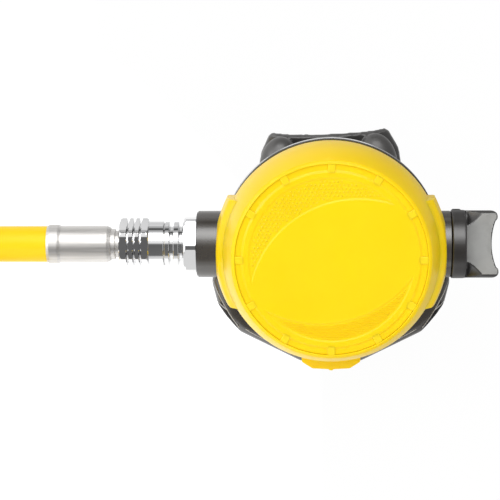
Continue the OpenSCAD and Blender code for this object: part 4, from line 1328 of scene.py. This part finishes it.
def addFloor():
    s = studio
    half = s["floor"] / 2
    corners = [(-half, -half, 0), (half, -half, 0), (half, half, 0), (-half, half, 0)]
    floor = newObject("floor", meshFrom("floor", corners, [(0, 1, 2, 3)]))
    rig.stage(floor)
    mat = bpy.data.materials.new("paleFloor")
    mat.use_nodes = True
    tree = mat.node_tree
    bsdf = tree.nodes["Principled BSDF"]
    spot = addNode(tree, "ShaderNodeTexCoord").outputs["Object"]
    stops = [(0.3, [s["floorShade"] - 0.01] * 3), (0.7, [s["floorShade"] + 0.01] * 3)]
    tree.links.new(ramp(tree, noise(tree, spot, 30), stops), bsdf.inputs["Base Color"])
    bsdf.inputs["Roughness"].default_value = 0.9
    ray = tree.nodes.new("ShaderNodeLightPath").outputs
    mirrored = maths(tree, "MAXIMUM", ray["Is Glossy Ray"], ray["Is Transmission Ray"])
    seen = maths(tree, "MAXIMUM", ray["Is Camera Ray"], mirrored)
    # what the pieces see of the floor is bright at the near left and dims to the right
    place = split(tree, spot)
    across, away = remap(tree, place["X"], *s["across"]), remap(tree, place["Y"], *s["away"])
    light = maths(tree, "MULTIPLY", across, away)
    strength = maths(tree, "MAXIMUM", ray["Is Camera Ray"], light)
    white = addNode(tree, "ShaderNodeEmission", {"Color": (1, 1, 1, 1), "Strength": strength})
    bounce = maths(tree, "MULTIPLY", ray["Is Diffuse Ray"], s["bounce"])
    share = maths(tree, "MAXIMUM", maths(tree, "MULTIPLY", seen, 1.0 - s["keepShadow"]), bounce)
    mixed = mixShaders(tree, share, bsdf.outputs[0], white.outputs[0])
    tree.links.new(mixed, tree.nodes["Material Output"].inputs["Surface"])
    floor.data.materials.append(mat)


def addWorld():
    s = studio
    world = bpy.data.worlds.new("studio")
    scene.world = world
    world.use_nodes = True
    tree = world.node_tree
    # what gloss sees of the room, by the angle round the barrel's axis
    part = split(tree, addNode(tree, "ShaderNodeTexCoord").outputs["Generated"])
    angle = maths(tree, "ARCTAN2", part["Y"], part["Z"])
    place = remap(tree, angle, -math.pi, math.pi, 0, 1)
    across = ramp(tree, place, [(0.5 + a / 360, [v] * 3) for a, v in s["room"]])
    wall = remap(tree, part["X"], *s["walls"])
    endOn = remap(tree, maths(tree, "ABSOLUTE", part["X"]), *s["endOn"], 0, 1)
    room = mixColours(tree, endOn, across, wall)
    ray = tree.nodes.new("ShaderNodeLightPath").outputs
    fill, white = background(tree, (1, 1, 1, 1), s["fill"]), background(tree, (1, 1, 1, 1))
    lit = mixShaders(tree, ray["Is Glossy Ray"], fill, background(tree, room))
    shown = mixShaders(tree, ray["Is Camera Ray"], lit, white)
    tree.links.new(shown, tree.nodes["World Output"].inputs["Surface"])


def addSoftboxes():
    s = studio
    aim = Vector(s["aim"])
    for number, box in enumerate(s["softboxes"]):
        data = bpy.data.lights.new(f"softbox{number}", "AREA")
        data.shape = "RECTANGLE"
        data.size, data.size_y = box["size"]
        data.energy = box["radiance"] * math.pi * box["size"][0] * box["size"][1]
        lamp = bpy.data.objects.new(f"softbox{number}", data)
        scene.collection.objects.link(lamp)
        toY, toX = (math.radians(v) for v in box["turn"])
        way = Vector((math.sin(toX), math.cos(toX) * math.sin(toY), math.cos(toX) * math.cos(toY)))
        lamp.location = aim + way * box["far"]
        lamp.visible_glossy = box["gloss"]
        lamp.rotation_mode = "QUATERNION"
        lamp.rotation_quaternion = way.to_track_quat("Z", "Y")


addFloor()
addWorld()
addSoftboxes()
scene.view_settings.view_transform = "Standard"
print("studio made")

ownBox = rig.bounds()
with open("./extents.json", "w") as report:
    boxes = {"cad": [list(c) for c in cadBox], "visual": [list(c) for c in ownBox]}
    json.dump(boxes, report)
